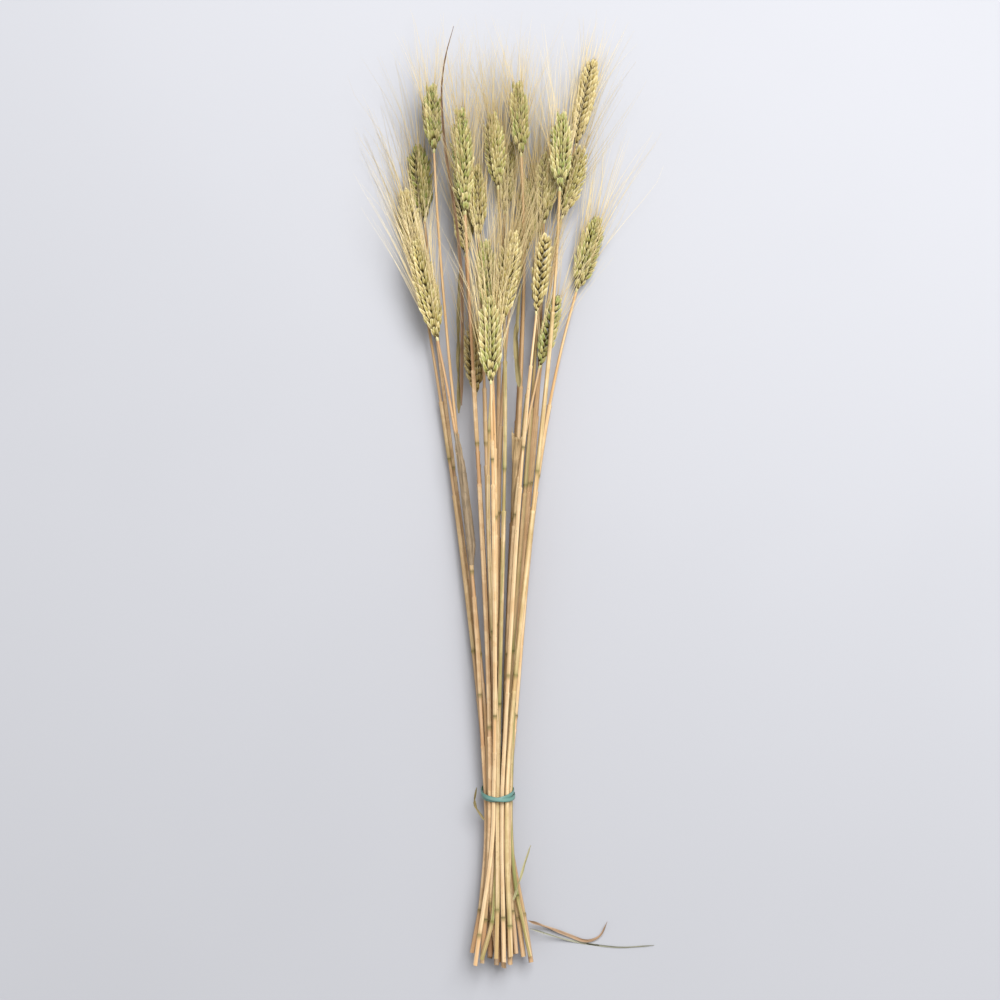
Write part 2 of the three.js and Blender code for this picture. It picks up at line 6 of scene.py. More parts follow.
import bpy
import numpy as np
from bpy.props import FloatProperty, FloatVectorProperty, IntProperty, PointerProperty
from bpy.types import Operator, Panel, PropertyGroup
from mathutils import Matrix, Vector


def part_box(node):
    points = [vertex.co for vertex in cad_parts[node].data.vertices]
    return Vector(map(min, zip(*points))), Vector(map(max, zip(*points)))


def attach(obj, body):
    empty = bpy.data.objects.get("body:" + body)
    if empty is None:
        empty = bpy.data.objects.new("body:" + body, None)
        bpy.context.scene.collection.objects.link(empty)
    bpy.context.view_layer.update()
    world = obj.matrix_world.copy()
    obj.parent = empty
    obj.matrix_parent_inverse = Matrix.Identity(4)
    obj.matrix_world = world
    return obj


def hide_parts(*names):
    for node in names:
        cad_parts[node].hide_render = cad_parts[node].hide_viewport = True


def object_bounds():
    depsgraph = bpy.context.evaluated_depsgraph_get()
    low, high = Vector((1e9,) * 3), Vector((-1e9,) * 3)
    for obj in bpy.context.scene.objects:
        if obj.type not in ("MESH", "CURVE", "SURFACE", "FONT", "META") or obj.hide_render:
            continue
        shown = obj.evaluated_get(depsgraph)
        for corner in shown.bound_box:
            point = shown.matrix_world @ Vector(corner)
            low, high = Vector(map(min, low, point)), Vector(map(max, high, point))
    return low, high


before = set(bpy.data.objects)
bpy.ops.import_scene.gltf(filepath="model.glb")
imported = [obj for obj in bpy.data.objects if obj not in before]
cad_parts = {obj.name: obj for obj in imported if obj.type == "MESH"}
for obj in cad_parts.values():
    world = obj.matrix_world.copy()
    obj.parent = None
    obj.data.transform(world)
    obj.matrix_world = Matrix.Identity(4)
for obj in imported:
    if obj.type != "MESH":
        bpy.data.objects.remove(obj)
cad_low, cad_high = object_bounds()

bl_info = {
    "name": "Dried wheat bunch",
    "version": (1, 0, 0),
    "blender": (4, 5, 0),
    "location": "3D View > Sidebar > Wheat",
    "description": "Builds the looks of a tied bunch of dried bearded wheat round its packed frame",
    "category": "Add Mesh",
}

MM = 0.001
EAR_SEED, LEAF_SEED, SHEATH_SEED, AWN_SEED = 40, 200, 240, 900
STEMS = sorted(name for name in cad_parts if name.startswith("stem_"))
EARS = sorted(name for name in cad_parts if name.startswith("ear_"))
LEAVES = sorted(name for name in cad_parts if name.startswith("leaf_"))
SHEATHS = sorted(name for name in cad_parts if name.startswith("sheath_"))

# For each ear: how green it has stayed, from 0, ripe straw yellow, to 1; how dark it has dried, from 0 to 1; how
# full it is, and how thick with awns, each as a share of the common one.
EAR_TONES = {
    "ear_01": (0.95, 0.25, 1.1, 0.7),
    "ear_02": (1.0, 1.0, 1.3, 0.5),
    "ear_03": (0.3, 0.3, 1.1, 0.8),
    "ear_04": (0.35, 0.1, 1.25, 1.1),
    "ear_05": (0.9, 0.3, 1.12, 1.1),
    "ear_06": (0.4, 0.5, 1.1, 1.2),
    "ear_07": (0.6, 0.35, 1.0, 1.3),
    "ear_08": (0.8, 0.6, 1.1, 0.9),
    "ear_09": (0.2, 0.2, 1.35, 0.6),
    "ear_10": (0.95, 0.1, 1.25, 0.7),
    "ear_11": (0.45, 0.4, 1.15, 0.8),
    "ear_12": (0.6, 0.8, 1.1, 0.9),
    "ear_13": (0.5, 0.5, 1.15, 0.8),
    "ear_14": (0.65, 0.3, 1.2, 0.7),
    "ear_15": (0.2, 0.3, 1.2, 0.8),
    "ear_16": (0.85, 0.15, 1.05, 0.7),
    "ear_17": (0.8, 0.2, 1.2, 1.4),
    "ear_18": (0.3, 0.1, 1.2, 1.5),
    "ear_19": (0.65, 0.0, 1.4, 1.5),
    "ear_20": (0.05, 0.7, 1.0, 1.0),
    "ear_21": (0.55, 0.45, 1.15, 1.4),
    "ear_22": (0.6, 0.5, 1.05, 1.3),
    "ear_23": (0.5, 0.6, 1.05, 1.3),
    "ear_24": (0.45, 0.5, 1.1, 1.4),
}

# For the straws that stand out: how brown each has dried and how green it has stayed, from 0 to 1.
STEM_TONES = {
    "stem_01": (0.35, 0.3),
    "stem_05": (0.7, 0.1),
    "stem_06": (1.0, 0.1),
    "stem_07": (0.35, 0.9),
    "stem_08": (0.6, 0.3),
    "stem_10": (0.05, 0.6),
    "stem_11": (0.2, 1.0),
    "stem_14": (0.0, 0.1),
    "stem_15": (0.05, 0.1),
    "stem_16": (0.5, 0.2),
    "stem_17": (0.05, 0.15),
    "stem_18": (0.1, 0.55),
    "stem_19": (0.0, 0.05),
    "stem_20": (0.9, 0.1),
}

# The bracts of one spikelet: the angle at which each leans across the spikelet and how far from its middle it
# starts, how far out from the ear's axis and how far up it starts, its length, width and depth, the direction
# that its back faces, and the chance that it bears an awn. Degrees and millimetres.
BRACTS = np.array(
    [
        # lean, aside, out, up, length, width, depth, facing, awned
        (-31, -2.1, 0.3, 0.0, 8.8, 3.3, 1.2, -64, 0.2),
        (31, 2.1, 0.3, 0.0, 8.8, 3.3, 1.2, 64, 0.2),
        (-23, -1.7, 0.9, 1.0, 10.8, 3.1, 1.5, -46, 0.85),
        (23, 1.7, 0.9, 1.0, 10.8, 3.1, 1.5, 46, 0.85),
        (-10, -1.0, 1.6, 2.2, 10.2, 2.8, 1.5, -20, 0.35),
        (12, 1.0, 1.7, 2.8, 9.6, 2.7, 1.5, 22, 0.35),
        (0, 0.0, 2.3, 3.9, 7.8, 2.3, 1.3, 0, 0.0),
    ]
)

# The husks of the spikelet that ends an ear, two outer husks, two florets and one that points straight on: the
# angle round the ear at which each stands and its lean off the axis, in radians, and its length, width and depth
# in millimetres.
END_TURNS = np.array([0.0, np.pi, 0.5 * np.pi, 1.5 * np.pi, 0.25 * np.pi])
END_LEANS = np.array([0.3, 0.3, 0.2, 0.2, 0.03])
END_SIZES = np.array([(7.6, 3.8, 1.5), (7.6, 3.8, 1.5), (9, 3.8, 1.8), (9, 3.8, 1.8), (9.2, 3.4, 1.8)])
END_AWNED = [False, False, True, True, False]

# How far each loose sheath stands off its straw near its foot and at its mouth, and how far that shifts it to
# the right, in millimetres.
SHEATH_LOOSENESS = {"sheath_left": (1.5, 0.7, 1.2), "sheath_right": (0.5, 2.6, -0.6)}

# The finish of each leaf whose name holds a word, and of each sheath: its material's name, the setting that holds
# its tone, and the tone of its edges.
LEAF_KINDS = {
    "trailing_brown": ("Pale brown strand", "strand", (0.60, 0.50, 0.38)),
    "brown": ("Brown leaf", "brown", (0.35, 0.20, 0.09)),
    "olive": ("Olive leaf", "olive", (0.33, 0.27, 0.12)),
    "strip": ("Green strip", "strip", (0.56, 0.50, 0.30)),
    "grey": ("Grey strand", "grey", (0.40, 0.38, 0.28)),
    "scrap": ("Olive leaf", "olive", (0.33, 0.27, 0.12)),
    "sheath_left": ("Grey brown sheath", "dull", (0.38, 0.30, 0.19)),
    "sheath_right": ("Tan sheath", "tan", (0.60, 0.48, 0.28)),
}

# Rings of a straw crowd here round each knot, and round the place where the sheath above a knot ends.
KNOT_RINGS = np.array([-5, -3.6, -2.6, -1.8, -1.1, -0.5, 0, 0.5, 1.1, 1.8, 2.6, 3.6, 5]) * MM
SHEATH_END_RINGS = np.array([-1, 0, 0.3, 1.2]) * MM

# The two rings of the hollow in a cut end: how far each lies towards the middle, as a share, and how deep.
HOLLOW = ((0.55, 0.7 * MM), (0.3, 0.15 * MM))

# A packed ear has its first rim at this share of its length, counted from the foot of its body.
FIRST_RIM = 1 / 5.35 - 0.03

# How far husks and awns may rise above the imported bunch, and how far awns may reach out beside it.
MOST_RISE = 8 * MM
MOST_REACH = 8 * MM

# ---------------------------------------------------------------- settings


def colour(name, description, default):
    """A setting that holds a colour."""
    return FloatVectorProperty(
        name=name, description=description, default=default, size=3, min=0.0, max=1.0, subtype="COLOR"
    )


def length(name, description, default):
    """A setting that holds a length."""
    return FloatProperty(
        name=name, description=description, default=default, min=0.0, soft_max=0.2, precision=5, unit="LENGTH"
    )


def power(name, description, default):
    """A setting that holds a lamp's power."""
    return FloatProperty(name=name, description=description, default=default, min=0.0, unit="POWER")


class WheatStrawSettings(PropertyGroup):
    pale: colour("Pale straw", "Lightest tone of the straw", (0.86, 0.68, 0.42))
    deep: colour("Deep straw", "Darker streaks of the straw", (0.60, 0.35, 0.15))
    bleached: colour("Bleached straw", "Tone of the lower, paler part of each straw", (0.80, 0.65, 0.47))
    # Real browning of some straws, and painted shade on the straws that lie low in the bunch.
    browned: colour("Browned straw", "Tone of the straws that have dried brown", (0.36, 0.19, 0.10))
    sheathed: colour("Old sheath", "Tone of the straw where a dry sheath still covers it", (0.86, 0.66, 0.40))
    cover: length("Sheath cover", "How far a dry sheath stands out from the straw it covers", 0.42 * MM)
    green: colour("Green trace", "Tone left at the knots and in a few streaks", (0.22, 0.26, 0.08))
    pith: colour("Pith", "Tone of the cut ends", (0.55, 0.33, 0.12))
    # Painted shade on the flanks of each straw, where straws lie side by side.
    flank: colour("Flanks", "Tone of a straw's flanks, dusty where straws lie side by side", (0.20, 0.10, 0.04))
    knot: colour("Knot", "Tone of the swelling at a knot", (0.20, 0.17, 0.05))
    collar: colour("Collar", "Tone of the dark ring just above a knot", (0.06, 0.05, 0.015))
    seam: colour("Sheath seam", "Tone of the seam along a dry sheath", (0.26, 0.15, 0.06))
    specks: colour("Straw specks", "Tone of the small specks on the straw", (0.16, 0.09, 0.03))
    sides: IntProperty(name="Sides", description="Faces round a stem", default=14, min=6, max=32)
    spacing: length("Ring spacing", "Distance between the rings of a stem", 5 * MM)
    knot_half_length: length("Knot half length", "Half the length of the swelling at a knot", 1.5 * MM)


class WheatEarSettings(PropertyGroup):
    pale: colour("Pale husk", "Edges, keels and tips of the husks", (0.98, 0.86, 0.50))
    deep: colour("Deep husk", "Body of the husks", (0.40, 0.27, 0.065))
    green: colour("Green husk", "Tone of the husks that have stayed green", (0.22, 0.30, 0.065))
    # Painted shade at the foot of each husk; the scorched tips of some husks take the same tone as their own colour.
    shade: colour("Shaded husk", "Tone at the foot of each husk", (0.06, 0.033, 0.005))
    specks: colour("Husk specks", "Tone of the small specks on the husks", (0.14, 0.09, 0.03))
    dried: colour("Dried husk", "Tint over the husks of an ear that has dried dark", (0.42, 0.38, 0.22))
    spacing: length("Spikelet spacing", "Rise from one spikelet to the next, which is on the other side", 2.7 * MM)
    outward: FloatProperty(
        name="Outward lean", description="Lean of a spikelet off the ear's axis", default=0.40, subtype="ANGLE"
    )


class WheatAwnSettings(PropertyGroup):
    pale: colour("Pale awn", "Tone along most of an awn", (0.86, 0.73, 0.44))
    deep: colour("Awn root", "Tone near the husk", (0.52, 0.38, 0.16))
    dried: colour("Dried awn", "Tint over the awns of an ear that has dried dark", (0.52, 0.46, 0.30))
    longest: length("Longest awn", "Length of the longest awns", 112 * MM)
    root_radius: length("Root radius", "Radius of an awn where it leaves its husk", 0.23 * MM)
    tip_radius: length("Tip radius", "Radius of an awn at its tip", 0.035 * MM)
    flare: FloatProperty(
        name="Flare", description="Usual lean of an awn off its ear", default=0.19, subtype="ANGLE"
    )


class WheatLeafSettings(PropertyGroup):
    brown: colour("Brown leaf", "Withered red brown leaves", (0.13, 0.075, 0.04))
    olive: colour("Olive leaf", "Leaves that dried green", (0.19, 0.15, 0.06))
    grey: colour("Grey strand", "Thin weathered strands", (0.25, 0.25, 0.19))
    tan: colour("Tan sheath", "The dry sheath on the right", (0.36, 0.25, 0.125))
    strand: colour("Pale brown strand", "The long brown strand that trails from the bunch", (0.27, 0.17, 0.10))
    strip: colour("Green strip", "The green strip beside the cut ends", (0.36, 0.33, 0.17))
    dull: colour("Grey brown sheath", "The weathered sheath on the left", (0.21, 0.155, 0.095))
    specks: colour("Leaf specks", "Tone of the small specks on the leaves", (0.06, 0.04, 0.02))
    thickness: length("Leaf thickness", "Thickness of a dry leaf", 0.3 * MM)


class WheatBandSettings(PropertyGroup):
    teal: colour("Rubber", "Tone of the rubber", (0.12, 0.27, 0.23))
    strand_width: length("Strand width", "Width of one strand along the stems", 3.5 * MM)
    strand_thickness: length("Strand thickness", "Thickness of one strand", 0.9 * MM)
    apart: length("Strand shift", "Furthest shift of a strand along the stems from the middle of the two", 2.5 * MM)
    lift: length("Strand lift", "Rise and fall of a strand where it crosses itself", 0.6 * MM)


class WheatStageSettings(PropertyGroup):
    floor: colour("Floor", "Tone of the plain floor", (0.455, 0.463, 0.498))
    camera_height: FloatProperty(
        name="Camera height", description="Height of the camera above the floor", default=2.6, unit="LENGTH"
    )
    lens: FloatProperty(name="Lens", description="Focal length in millimetres", default=116.0)
    key_power: power("Key light", "Power of the large soft light", 140.0)
    fill_power: power("Fill light", "Power of the second light", 4.0)
    room: colour("Room", "Tone of the even light from all round", (1.0, 0.98, 0.95))
    room_strength: FloatProperty(name="Room strength", description="Strength of the even light", default=0.5)


# ---------------------------------------------------------------- reading the frame


def node_points(name):
    """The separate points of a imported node, and its triangles as indices into them."""
    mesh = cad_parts[name].data
    places = np.empty(len(mesh.vertices) * 3, np.float32)
    mesh.vertices.foreach_get("co", places)
    corners = np.empty(len(mesh.loops), np.int32)
    mesh.loops.foreach_get("vertex_index", corners)
    points, which = np.unique(np.round(places.reshape(-1, 3).astype(float), 6), axis=0, return_inverse=True)
    return points, which.ravel()[corners].reshape(-1, 3)


def rings_along(points, direction, gap=0.8 * MM):
    """Centres and radii of the rings in a tube's points: sorted along the direction, they fall into groups with
    clear gaps between them. A ring's centre is its points' mean, and its radius the furthest one's distance."""
    along = points @ direction
    order = np.argsort(along)
    groups = np.split(points[order], np.flatnonzero(np.diff(along[order]) > gap) + 1)
    centres = np.array([group.mean(0) for group in groups])
    radii = np.array([np.linalg.norm(group - group.mean(0), axis=1).max() for group in groups])
    return centres, radii, groups


def unit(vectors):
    """The same directions, one unit long."""
    return vectors / np.linalg.norm(vectors, axis=-1, keepdims=True)


def square_to(vectors, axis):
    """The part of each vector that is square to an axis, one unit long."""
    return unit(vectors - axis * (vectors * axis).sum(-1, keepdims=True))


def distances(points):
    """Distance of each point of a line from its first, along the line."""
    return np.concatenate([[0.0], np.cumsum(np.linalg.norm(np.diff(points, axis=0), axis=1))])


def smooth_line(points, places):
    """Points at given distances along a smooth line through the given points: between two of them the line is the
    cubic whose ends and end slopes match, with each slope taken from the neighbouring points."""
    knots = distances(points)
    slopes = np.gradient(points, knots, axis=0)
    i = np.clip(np.searchsorted(knots, places) - 1, 0, len(knots) - 2)
    h = (knots[i + 1] - knots[i])[:, None]
    t = ((places - knots[i])[:, None] / h).clip(-0.5, 1.5)
    return (
        (2 * t**3 - 3 * t**2 + 1) * points[i]
        + (3 * t**2 - 2 * t**3) * points[i + 1]
        + h * (t**3 - 2 * t**2 + t) * slopes[i]
        + h * (t**3 - t**2) * slopes[i + 1]
    )


def stem_line(name):
    """Centres and radii of a packed stem's rings, from its cut end up, and the distances of its knots, which are
    the rings that are clearly wider than the ones beside them."""
    centres, radii, _ = rings_along(node_points(name)[0], np.array([0.0, 1.0, 0.0]))
    inner = radii[1:-1]
    wide = np.flatnonzero((inner > radii[:-2] * 1.1) & (inner > radii[2:] * 1.1)) + 1
    return centres, radii, wide


def ear_axes(name):
    """Base, direction, broad side, row side and length of a packed ear. The first rings of its body give them: the
    base ring's centre, the line through the first rings' centres, and the widest direction of its first rim."""
    points = node_points(name)[0]
    rise = points[:, 1] - points[:, 1].min()
    base = points[rise < 3 * MM].mean(0)
    axis = unit(points[(rise > 6 * MM) & (rise < 18 * MM)].mean(0) - base)
    near = points[(points - base) @ axis < 21 * MM]
    centres, _, groups = rings_along(near, axis, 1.5 * MM)
    axis = unit(centres[-1] - centres[0])
    rim = groups[1] - centres[1]
    side = square_to(np.linalg.eigh(rim.T @ rim)[1][:, -1], axis)
    side = side * (1 if side[0] >= 0 else -1)
    return centres[0], axis, side, np.cross(side, axis), np.linalg.norm(centres[1] - centres[0]) / FIRST_RIM


def strip_line(name):
    """Centres and half-width vectors of a packed leaf's sections, from one end to the other. The slowest pattern
    in which the mesh could vibrate rises steadily from end to end, so it puts the corners in order, and each four
    in turn are one section. A blade is followed up the bunch, and a trailing strand to the right."""
    points, triangles = node_points(name)
    pull = np.zeros((len(points), len(points)))
    for a, b in ((0, 1), (1, 2), (2, 0)):
        first, second = triangles[:, a], triangles[:, b]
        strength = 1 / ((points[first] - points[second]) ** 2).sum(1)
        pull[first, second] = strength
        pull[second, first] = strength
    order = np.argsort(np.linalg.eigh(np.diag(pull.sum(1)) - pull)[1][:, 1])
    sections = points[order].reshape(-1, 4, 3)
    way = 0 if "trailing" in name else 1
    if sections[0].mean(0)[way] > sections[-1].mean(0)[way]:
        sections = sections[::-1]
    centres = sections.mean(1)
    offsets = sections - centres[:, None]
    spread, directions = np.linalg.eigh(np.einsum("nij,nik->njk", offsets, offsets))
    across = directions[:, :, 2] * np.sqrt(spread[:, 2] / 4)[:, None]
    turns = np.where((across[1:] * across[:-1]).sum(1) < 0, -1.0, 1.0)
    return centres, across * np.concatenate([[1.0], np.cumprod(turns)])[:, None]


# ---------------------------------------------------------------- making meshes


def make_piece(name, points, quads, triangles, attributes, material, node, slot):
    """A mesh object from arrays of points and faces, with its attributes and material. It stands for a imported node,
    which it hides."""
    mesh = bpy.data.meshes.new(name)
    mesh.vertices.add(len(points))
    mesh.vertices.foreach_set("co", points.astype(np.float32).ravel())
    corners = np.concatenate([quads.ravel(), triangles.ravel()]).astype(np.int32)
    mesh.loops.add(len(corners))
    mesh.loops.foreach_set("vertex_index", corners)
    starts = np.concatenate([np.arange(len(quads)) * 4, len(quads) * 4 + np.arange(len(triangles)) * 3])
    mesh.polygons.add(len(starts))
    mesh.polygons.foreach_set("loop_start", starts.astype(np.int32))
    mesh.polygons.foreach_set("use_smooth", np.ones(len(starts), bool))
    mesh.update(calc_edges=True)
    for key, values in attributes.items():
        values = np.asarray(values, np.float32)
        if values.ndim == 2:
            mesh.attributes.new(key, "FLOAT_VECTOR", "POINT").data.foreach_set("vector", values.ravel())
        else:
            mesh.attributes.new(key, "FLOAT", "POINT").data.foreach_set("value", values)
    mesh.set_sharp_from_angle(angle=math.radians(62))
    piece = bpy.data.objects.new(name, mesh)
    bpy.context.scene.collection.objects.link(piece)
    mesh.materials.append(material)
    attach(piece, "root")
    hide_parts(node)
    return piece


def tube_faces(rows, around, count=1):
    """Faces of some equal closed tubes. Each has its rings' points in turn, then a point that closes its start and
    one that closes its end."""
    turn = np.arange(around)
    after = (turn + 1) % around
    row = np.arange(rows - 1)[:, None] * around
    above = row + around
    quads = np.stack([row + turn, row + after, above + after, above + turn], -1)
    last, start, end = (rows - 1) * around, rows * around, rows * around + 1
    low = np.stack([after, turn, np.full(around, start)], -1)
    high = np.stack([last + turn, last + after, np.full(around, end)], -1)
    shift = (np.arange(count) * (rows * around + 2))[:, None, None]
    quads = (quads.reshape(1, -1, 4) + shift).reshape(-1, 4)
    return quads, (np.concatenate([low, high])[None] + shift).reshape(-1, 3)


def closed_tubes(rings, starts, ends):
    """Points in the order that tube_faces wants, for rings of shape (tubes, rows, around, 3)."""
    count = len(rings)
    return np.concatenate([rings.reshape(count, -1, 3), starts[:, None], ends[:, None]], 1).reshape(-1, 3)


def closed_values(rings, starts, ends):
    """Values in the same order as closed_tubes gives points."""
    count = len(rings)
    return np.concatenate([rings.reshape(count, -1), starts[:, None], ends[:, None]], 1).ravel()


def join(parts):
    """One mesh's arrays from several parts, each (points, quads, triangles, attributes)."""
    shifts = np.cumsum([0] + [len(part[0]) for part in parts[:-1]])
    points = np.concatenate([part[0] for part in parts])
    quads = np.concatenate([part[1] + shift for part, shift in zip(parts, shifts)])
    triangles = np.concatenate([part[2] + shift for part, shift in zip(parts, shifts)])
    attributes = {key: np.concatenate([part[3][key] for part in parts]) for key in parts[0][3]}
    return points, quads, triangles, attributes


def turned_outwards(surface):
    """The same closed surface with its faces pointing out: the volume that its faces enclose is made positive."""
    points, quads, triangles, attributes = surface
    halves = np.concatenate([quads[:, [0, 1, 2]], quads[:, [0, 2, 3]], triangles])
    a, b, c = (points[halves[:, i]] - points.mean(0) for i in range(3))
    if (a * np.cross(b, c)).sum() < 0:
        quads, triangles = quads[:, ::-1], triangles[:, ::-1]
    return points, quads, triangles, attributes


def bell(x, width):
    """One at nought, falling off on both sides as e to the minus square of x over the width."""
    return np.exp(-((x / width) ** 2))


def ease(x):
    """From nought at 0 to one at 1, level at both ends: three times the square less twice the cube."""
    x = np.clip(x, 0, 1)
    return x * x * (3 - 2 * x)


def held_between(values, low, high, softness):
    """Values kept between two limits, with a soft turn at each, which is a logarithm of a sum of exponentials: a
    value within the softness of a limit, or past it, comes to rest just inside."""
    values = low + softness * np.logaddexp(0, (values - low) / softness)
    return high - softness * np.logaddexp(0, (high - values) / softness)


# ---------------------------------------------------------------- stems


def stem_surface(name, settings, seed):
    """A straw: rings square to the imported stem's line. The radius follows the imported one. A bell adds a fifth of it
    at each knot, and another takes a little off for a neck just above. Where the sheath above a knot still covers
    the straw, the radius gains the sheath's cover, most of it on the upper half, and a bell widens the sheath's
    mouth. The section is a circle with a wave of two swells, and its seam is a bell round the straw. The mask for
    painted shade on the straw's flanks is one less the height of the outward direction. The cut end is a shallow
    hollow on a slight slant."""
    random = np.random.default_rng(seed)
    centres, radii, wide = stem_line(name)
    total = distances(centres)[-1]
    knots = distances(centres)[wide]
    plain = np.setdiff1d(np.arange(len(radii)), wide)
    # How low the straw lies in the bunch; the low ones are browned more, which is painted shade.
    halfway_up = np.interp(0.5 * total, distances(centres), centres[:, 2])
    buried = 1 - np.clip(halfway_up / (0.5 * cad_high.z), 0, 1)
    covered = random.uniform(0.75, 0.97, len(knots)) * np.diff(np.append(knots, total))
    covered[-1:] *= random.uniform(0.3, 0.75)
    places = np.concatenate(
        [
            np.arange(0, total, settings.spacing),
            [total],
            (knots[:, None] + KNOT_RINGS).ravel(),
            ((knots + covered)[:, None] + SHEATH_END_RINGS).ravel(),
        ]
    )
    places = np.unique(np.round(places[(places >= 0) & (places <= total)], 4))
    middles = smooth_line(centres, places)
    tangents = unit(np.gradient(middles, places, axis=0))
    side = square_to(np.array([1.0, 0.0, 0.0]), tangents)
    up = np.cross(side, tangents)
    above = places[:, None] - knots
    knot = bell(above, settings.knot_half_length).sum(1)
    mouth = bell(above - covered + 0.6 * MM, 1.3 * MM).sum(1)
    neck = bell(above - 2.6 * MM, 1.1 * MM).sum(1)
    sheathed = ((above > 0) * ease((covered - above) / (0.4 * MM))).sum(1).clip(0, 1)
    radius = np.interp(places, distances(centres)[plain], radii[plain])
    radius = radius * (1 + 0.2 * knot - 0.07 * neck)
    upper = 0.15 + 0.85 * ease((places / total - 0.35) / 0.2)
    radius += settings.cover * sheathed * (1 - 0.8 * knot.clip(0, 1)) * upper
    radius += 0.34 * MM * mouth * sheathed
    around = settings.sides
    turn = np.arange(around) / around * 2 * np.pi
    section = 1 + 0.03 * np.cos(2 * turn + random.uniform(0, 6))
    outward = side[:, None] * np.cos(turn)[None, :, None] + up[:, None] * np.sin(turn)[None, :, None]
    rings = middles[:, None] + outward * (radius[:, None] * section)[..., None]
    seam = bell((turn - random.uniform(0.6, 2.5) + np.pi) % (2 * np.pi) - np.pi, 0.3)
    slant = random.uniform(-0.45, 0.45) * radius[0] * np.cos(turn + random.uniform(0, 6))
    rings[0] += tangents[0] * slant[:, None]
    to_middle = middles[0] - rings[0]
    hollow = [rings[0] + to_middle * share + tangents[0] * depth for share, depth in HOLLOW]
    rings = np.concatenate([hollow, rings])
    rows = len(rings)
    ends = middles[:1] + tangents[:1] * 1.0 * MM, middles[-1:] + tangents[-1:] * 0.5 * MM
    points = closed_tubes(rings[None], *ends)
    quads, triangles = tube_faces(rows, around)

    def with_cut(values, at_cut=0.0):
        """A value for each ring, given to all its points, with another for the rings of the hollow."""
        values = np.concatenate([[at_cut, at_cut], values])
        return closed_values(np.repeat(values, around).reshape(1, rows, around), values[:1], values[-1:])

    def round_about(values):
        """Values that differ round the straw, with nought at the points that close its ends."""
        return closed_values(np.broadcast_to(values, (1, rows, around)), np.zeros(1), np.zeros(1))

    # Brown tone: a random share is real browning, and the share from lying low is painted shade.
    own_tones = min(1.1 * buried**1.6 + 0.7 * random.uniform(0, 1) ** 3, 1.0), random.uniform(0, 1) ** 2.2
    browned, green = STEM_TONES.get(name, own_tones)
    along = with_cut(places * 100) + seed
    on_sheath = np.concatenate([[0, 0], sheathed])[:, None]
    attributes = {
        "fibre": np.stack([round_about(np.cos(turn)), round_about(np.sin(turn)), along], -1),
        "knot": with_cut(bell(above, 2.2 * MM).sum(1)),
        "collar": with_cut((bell(above - 0.9 * MM, 0.7 * MM) * random.uniform(0.3, 1.0, len(knots))).sum(1)),
        "near_knot": with_cut(((above > 0) * np.exp(-above.clip(0) / (14 * MM))).sum(1)),
        "sheathed": with_cut(sheathed * random.uniform(0.1, 0.9)),
        "cut": with_cut(np.zeros(len(places)), 1.0),
        "seam": round_about(on_sheath * seam),
        # Painted shade: this mask grows as the straw's surface turns from facing up to facing sideways.
        "flank": round_about(np.concatenate([np.zeros((2, around)), 1 - np.abs(outward[..., 2])])),
        "tone": np.full(len(points), random.uniform(0, 1)),
        "browned": np.full(len(points), browned),
        "bleached": with_cut(ease((0.55 - places / total) / 0.3), 1.0),
        "green": np.full(len(points), green),
    }
    return points, quads, triangles, attributes


# ---------------------------------------------------------------- ears


def bract_surfaces(roots, directions, backs, sizes, bends, tones):
    """Closed boat-shaped husks. Along a husk its half-width is the square root of the share s of its length times
    (1 - s) to the power 0.8, scaled so that the widest place is one, and its depth is a sine arch. Across it the
    section is an ellipse, full on the back with a bell for its keel, and shallow inside. The middle line bows out
    from the ear by a sine, and the tip turns out or in by a parabola. Also returns the tips."""
    s = np.array([0.04, 0.18, 0.36, 0.56, 0.75, 0.9])
    turn = np.arange(8) / 8 * 2 * np.pi
    backs = square_to(backs, directions)
    widths = np.cross(directions, backs)
    half = s**0.5 * (1 - s) ** 0.8 / 0.423
    arch = np.sin(np.pi * s**0.8) ** 0.8 + 0.05
    depth = np.where(np.sin(turn) > 0, 0.75 + 0.55 * bell(np.cos(turn), 0.3), 0.25) * np.sin(turn)
    long, wide, deep = sizes[:, 0], sizes[:, 1], sizes[:, 2]
    bow = bends[:, :1] * np.sin(np.pi * s) + bends[:, 1:] * s**2
    middles = (
        roots[:, None]
        + directions[:, None] * (long[:, None] * s)[..., None]
        + backs[:, None] * (long[:, None] * bow)[..., None]
    )
    rings = (
        middles[:, :, None]
        + widths[:, None, None] * (wide[:, None, None] / 2 * half[None, :, None] * np.cos(turn))[..., None]
        + backs[:, None, None] * (deep[:, None, None] * arch[None, :, None] * depth)[..., None]
    )
    tips = roots + directions * long[:, None] + backs * (long * bends[:, 1])[:, None]
    count = len(roots)
    points = closed_tubes(rings, roots, tips)
    quads, triangles = tube_faces(len(s), len(turn), count)
    ones = np.ones((count, len(s), len(turn)))
    attributes = {
        "along": closed_values(ones * s[None, :, None], np.zeros(count), np.ones(count)),
        "across": closed_values(ones * np.cos(turn), np.zeros(count), np.zeros(count)),
        "tone": np.repeat(tones, len(s) * len(turn) + 2),
    }
    return (points, quads, triangles, attributes), tips


def rachis_surface(base, axis, side, row, heights, signs):
    """The ear's own stalk: a thin tapering tube whose middle steps to the side of each spikelet in turn."""
    rows = np.concatenate([[-0.3 * MM], heights])
    middles = base + axis * rows[:, None] + row * (np.concatenate([[0], signs]) * 0.5 * MM)[:, None]
    turn = np.arange(6) / 6 * 2 * np.pi
    radius = np.linspace(1.15, 0.5, len(rows)) * MM
    outward = side * np.cos(turn)[:, None] + row * np.sin(turn)[:, None]
    rings = middles[:, None] + outward[None] * radius[:, None, None]
    points = closed_tubes(rings[None], middles[:1] - axis * 0.5 * MM, middles[-1:] + axis * 0.5 * MM)
    quads, triangles = tube_faces(len(rows), 6)
    zeros = np.zeros(len(points))
    return points, quads, triangles, {"along": zeros + 0.5, "across": zeros, "tone": zeros + 0.4}


